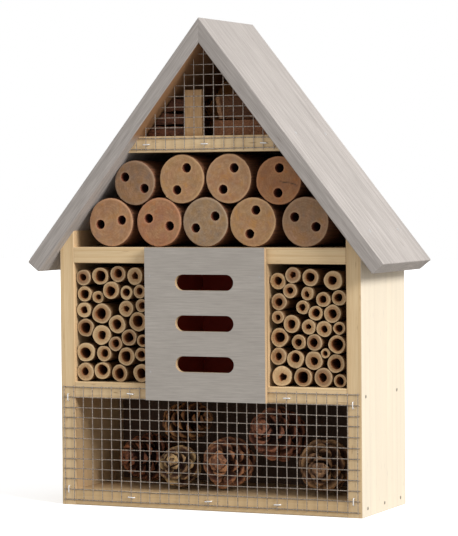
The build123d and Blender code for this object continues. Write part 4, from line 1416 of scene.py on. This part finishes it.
def offcut(solid, seed, rough, layers=0.0):
    """A prism along Y with uneven sides. Its outline is resampled into even steps, and each point is pulled
    inwards by noise along the piece. rough is the noise's strength in millimetres, and layers adds waves
    across Z, as bark has."""
    low, high = solid.min(0), solid.max(0)
    corners = np.unique(np.round(solid[:, [0, 2]], 6), axis=0)
    middle = corners.mean(0)
    corners = corners[np.argsort(np.arctan2(*(corners - middle).T[::-1]))]
    closed = np.concatenate([corners, corners[:1]])
    run = np.concatenate([[0], np.cumsum(np.linalg.norm(np.diff(closed, axis=0), axis=1))])
    sample = np.linspace(0, run[-1], OUTLINE_POINTS, endpoint=False)
    outline = np.column_stack([np.interp(sample, run, closed[:, k]) for k in (0, 1)])
    inward = middle - outline
    inward /= np.linalg.norm(inward, axis=1, keepdims=True)
    length = high[1] - low[1]
    depths = np.array([0.0, 0.3 * MM, 1.2 * MM, *(length * np.linspace(0.08, 0.97, 12)), length])
    rings = []
    for number, depth in enumerate(depths):
        spot = np.column_stack([outline, np.full(OUTLINE_POINTS, depth * 0.35)])
        pull = rough * MM * (0.5 + 0.5 * ripples(spot, 0.012, seed)).clip(0, 2)
        pull += layers * MM * np.abs(np.sin(outline[:, 1] / (0.9 * MM) + 2 * ripples(spot, 0.03, seed + 1)))
        if number in (0, len(depths) - 1):
            pull += 0.35 * MM
        ring = outline + inward * pull[:, None]
        jag = rough * MM * 0.6 * np.abs(ripples(outline, 0.006, seed + 2)) * (number < 3)
        rings.append(np.column_stack([ring[:, 0], low[1] + np.minimum(depth + jag, length), ring[:, 1]]))
    return skin(np.stack(rings))


print("offcut shape ready")

# %% [markdown]
# ## Offcut finish
# The slat and the block are rough-sawn and fairly clean, the leaning block is old dark wood with a strip of
# pale sapwood down one edge, and the bark shows thin layers. Drawn-out noise gives the fibres, along the
# piece or upright, and the same node group as on the logs gives the pores.


# %% Offcut finish
def offcut_finish(name, pale, dark, squeeze, layers=0.0, sapwood=None):
    """Rough-sawn wood or bark. squeeze draws its fibres out along the piece or upright, and layers is how
    strongly thin layers show. sapwood is (slant, reach, colour) of a pale strip down the left edge: it
    covers the places where x + slant z is less than reach, in millimetres."""
    material, tree, shader = new_material(name, 0.75)
    place = object_place(tree)
    fibres = cloud(tree, stretched(tree, place, squeeze), 900.0, 3.0, 0.6)
    stains = cloud(tree, place, 120.0, 3.0)
    leaves = cloud(tree, stretched(tree, place, (0.15, 0.3, 1)), 1100.0, 2.0)
    end = grouped(tree, sawn_end, {"Place": place, "Ring Spacing": 0.0024})
    colour = layered(tree, pale, (
        (span(tree, fibres, 0.35, 0.66), dark),
        (span(tree, stains, 0.42, 0.66, 0.0, 0.6), dark),
        (times(tree, end["Pores"], 0.35), dark),
        (span(tree, leaves, 0.45, 0.65, 0.0, layers), toned(dark, 0.4, 0.35, 0.3)),
    ))
    if sapwood is not None:
        slant, reach, strip = sapwood
        parts = put(tree, "ShaderNodeSeparateXYZ", {0: place}).outputs
        slanted = plus(tree, parts["X"], times(tree, parts["Z"], slant))
        share = span(tree, slanted, (reach - 0.6) * MM, (reach + 0.6) * MM, 0.85, 0.0)
        colour = tint(tree, share, colour, tint(tree, fibres, strip, pale))
    dress(tree, shader, colour, plus(tree, fibres, leaves), 0.0004, 0.8)
    return material


print("offcut finish ready")


# %% The attic's pieces
FIBRES_UP = (1, 1, 0.06)
FIBRES_ALONG = (1, 0.1, 1)
SLAT_PALE, SLAT_DARK = (0.68, 0.44, 0.23, 1), (0.46, 0.27, 0.125, 1)
BLOCK_PALE, BLOCK_DARK = (0.40, 0.175, 0.080, 1), (0.20, 0.078, 0.032, 1)
LEANING_PALE, LEANING_DARK = (0.21, 0.082, 0.020, 1), (0.085, 0.028, 0.008, 1)
BARK_PALE, BARK_DARK = (0.22, 0.072, 0.028, 1), (0.085, 0.026, 0.010, 1)
SAPWOOD = (1 / 6, 61.0, (0.62, 0.36, 0.20, 1))
slat_wood = offcut_finish("slat wood", SLAT_PALE, SLAT_DARK, FIBRES_UP)
block_wood = offcut_finish("block wood", BLOCK_PALE, BLOCK_DARK, FIBRES_ALONG)
leaning_wood = offcut_finish("leaning block wood", LEANING_PALE, LEANING_DARK, FIBRES_ALONG, 0.4, SAPWOOD)
bark_skin = offcut_finish("bark", BARK_PALE, BARK_DARK, FIBRES_ALONG, 0.9)
# node, slot, finish, how rough the sides are and how strong the waves of bark, in millimetres
attic_filling = (
    ("attic_slat", "offcut", slat_wood, 0.18, 0.0),
    ("attic_offcut", "offcut", block_wood, 0.5, 0.0),
    ("leaning_offcut", "offcut", leaning_wood, 0.9, 0.15),
    ("bark_chips", "bark", bark_skin, 0.8, 0.5),
)
for number, (node, slot, finish, rough, layers) in enumerate(attic_filling):
    seed = 900 + 10 * number
    pieces = [offcut(solid, seed + k, rough, layers) for k, solid in enumerate(solids_of(node))]
    seat(build(f"{node}_rough", pieces, (), finish, 45), slot, node)
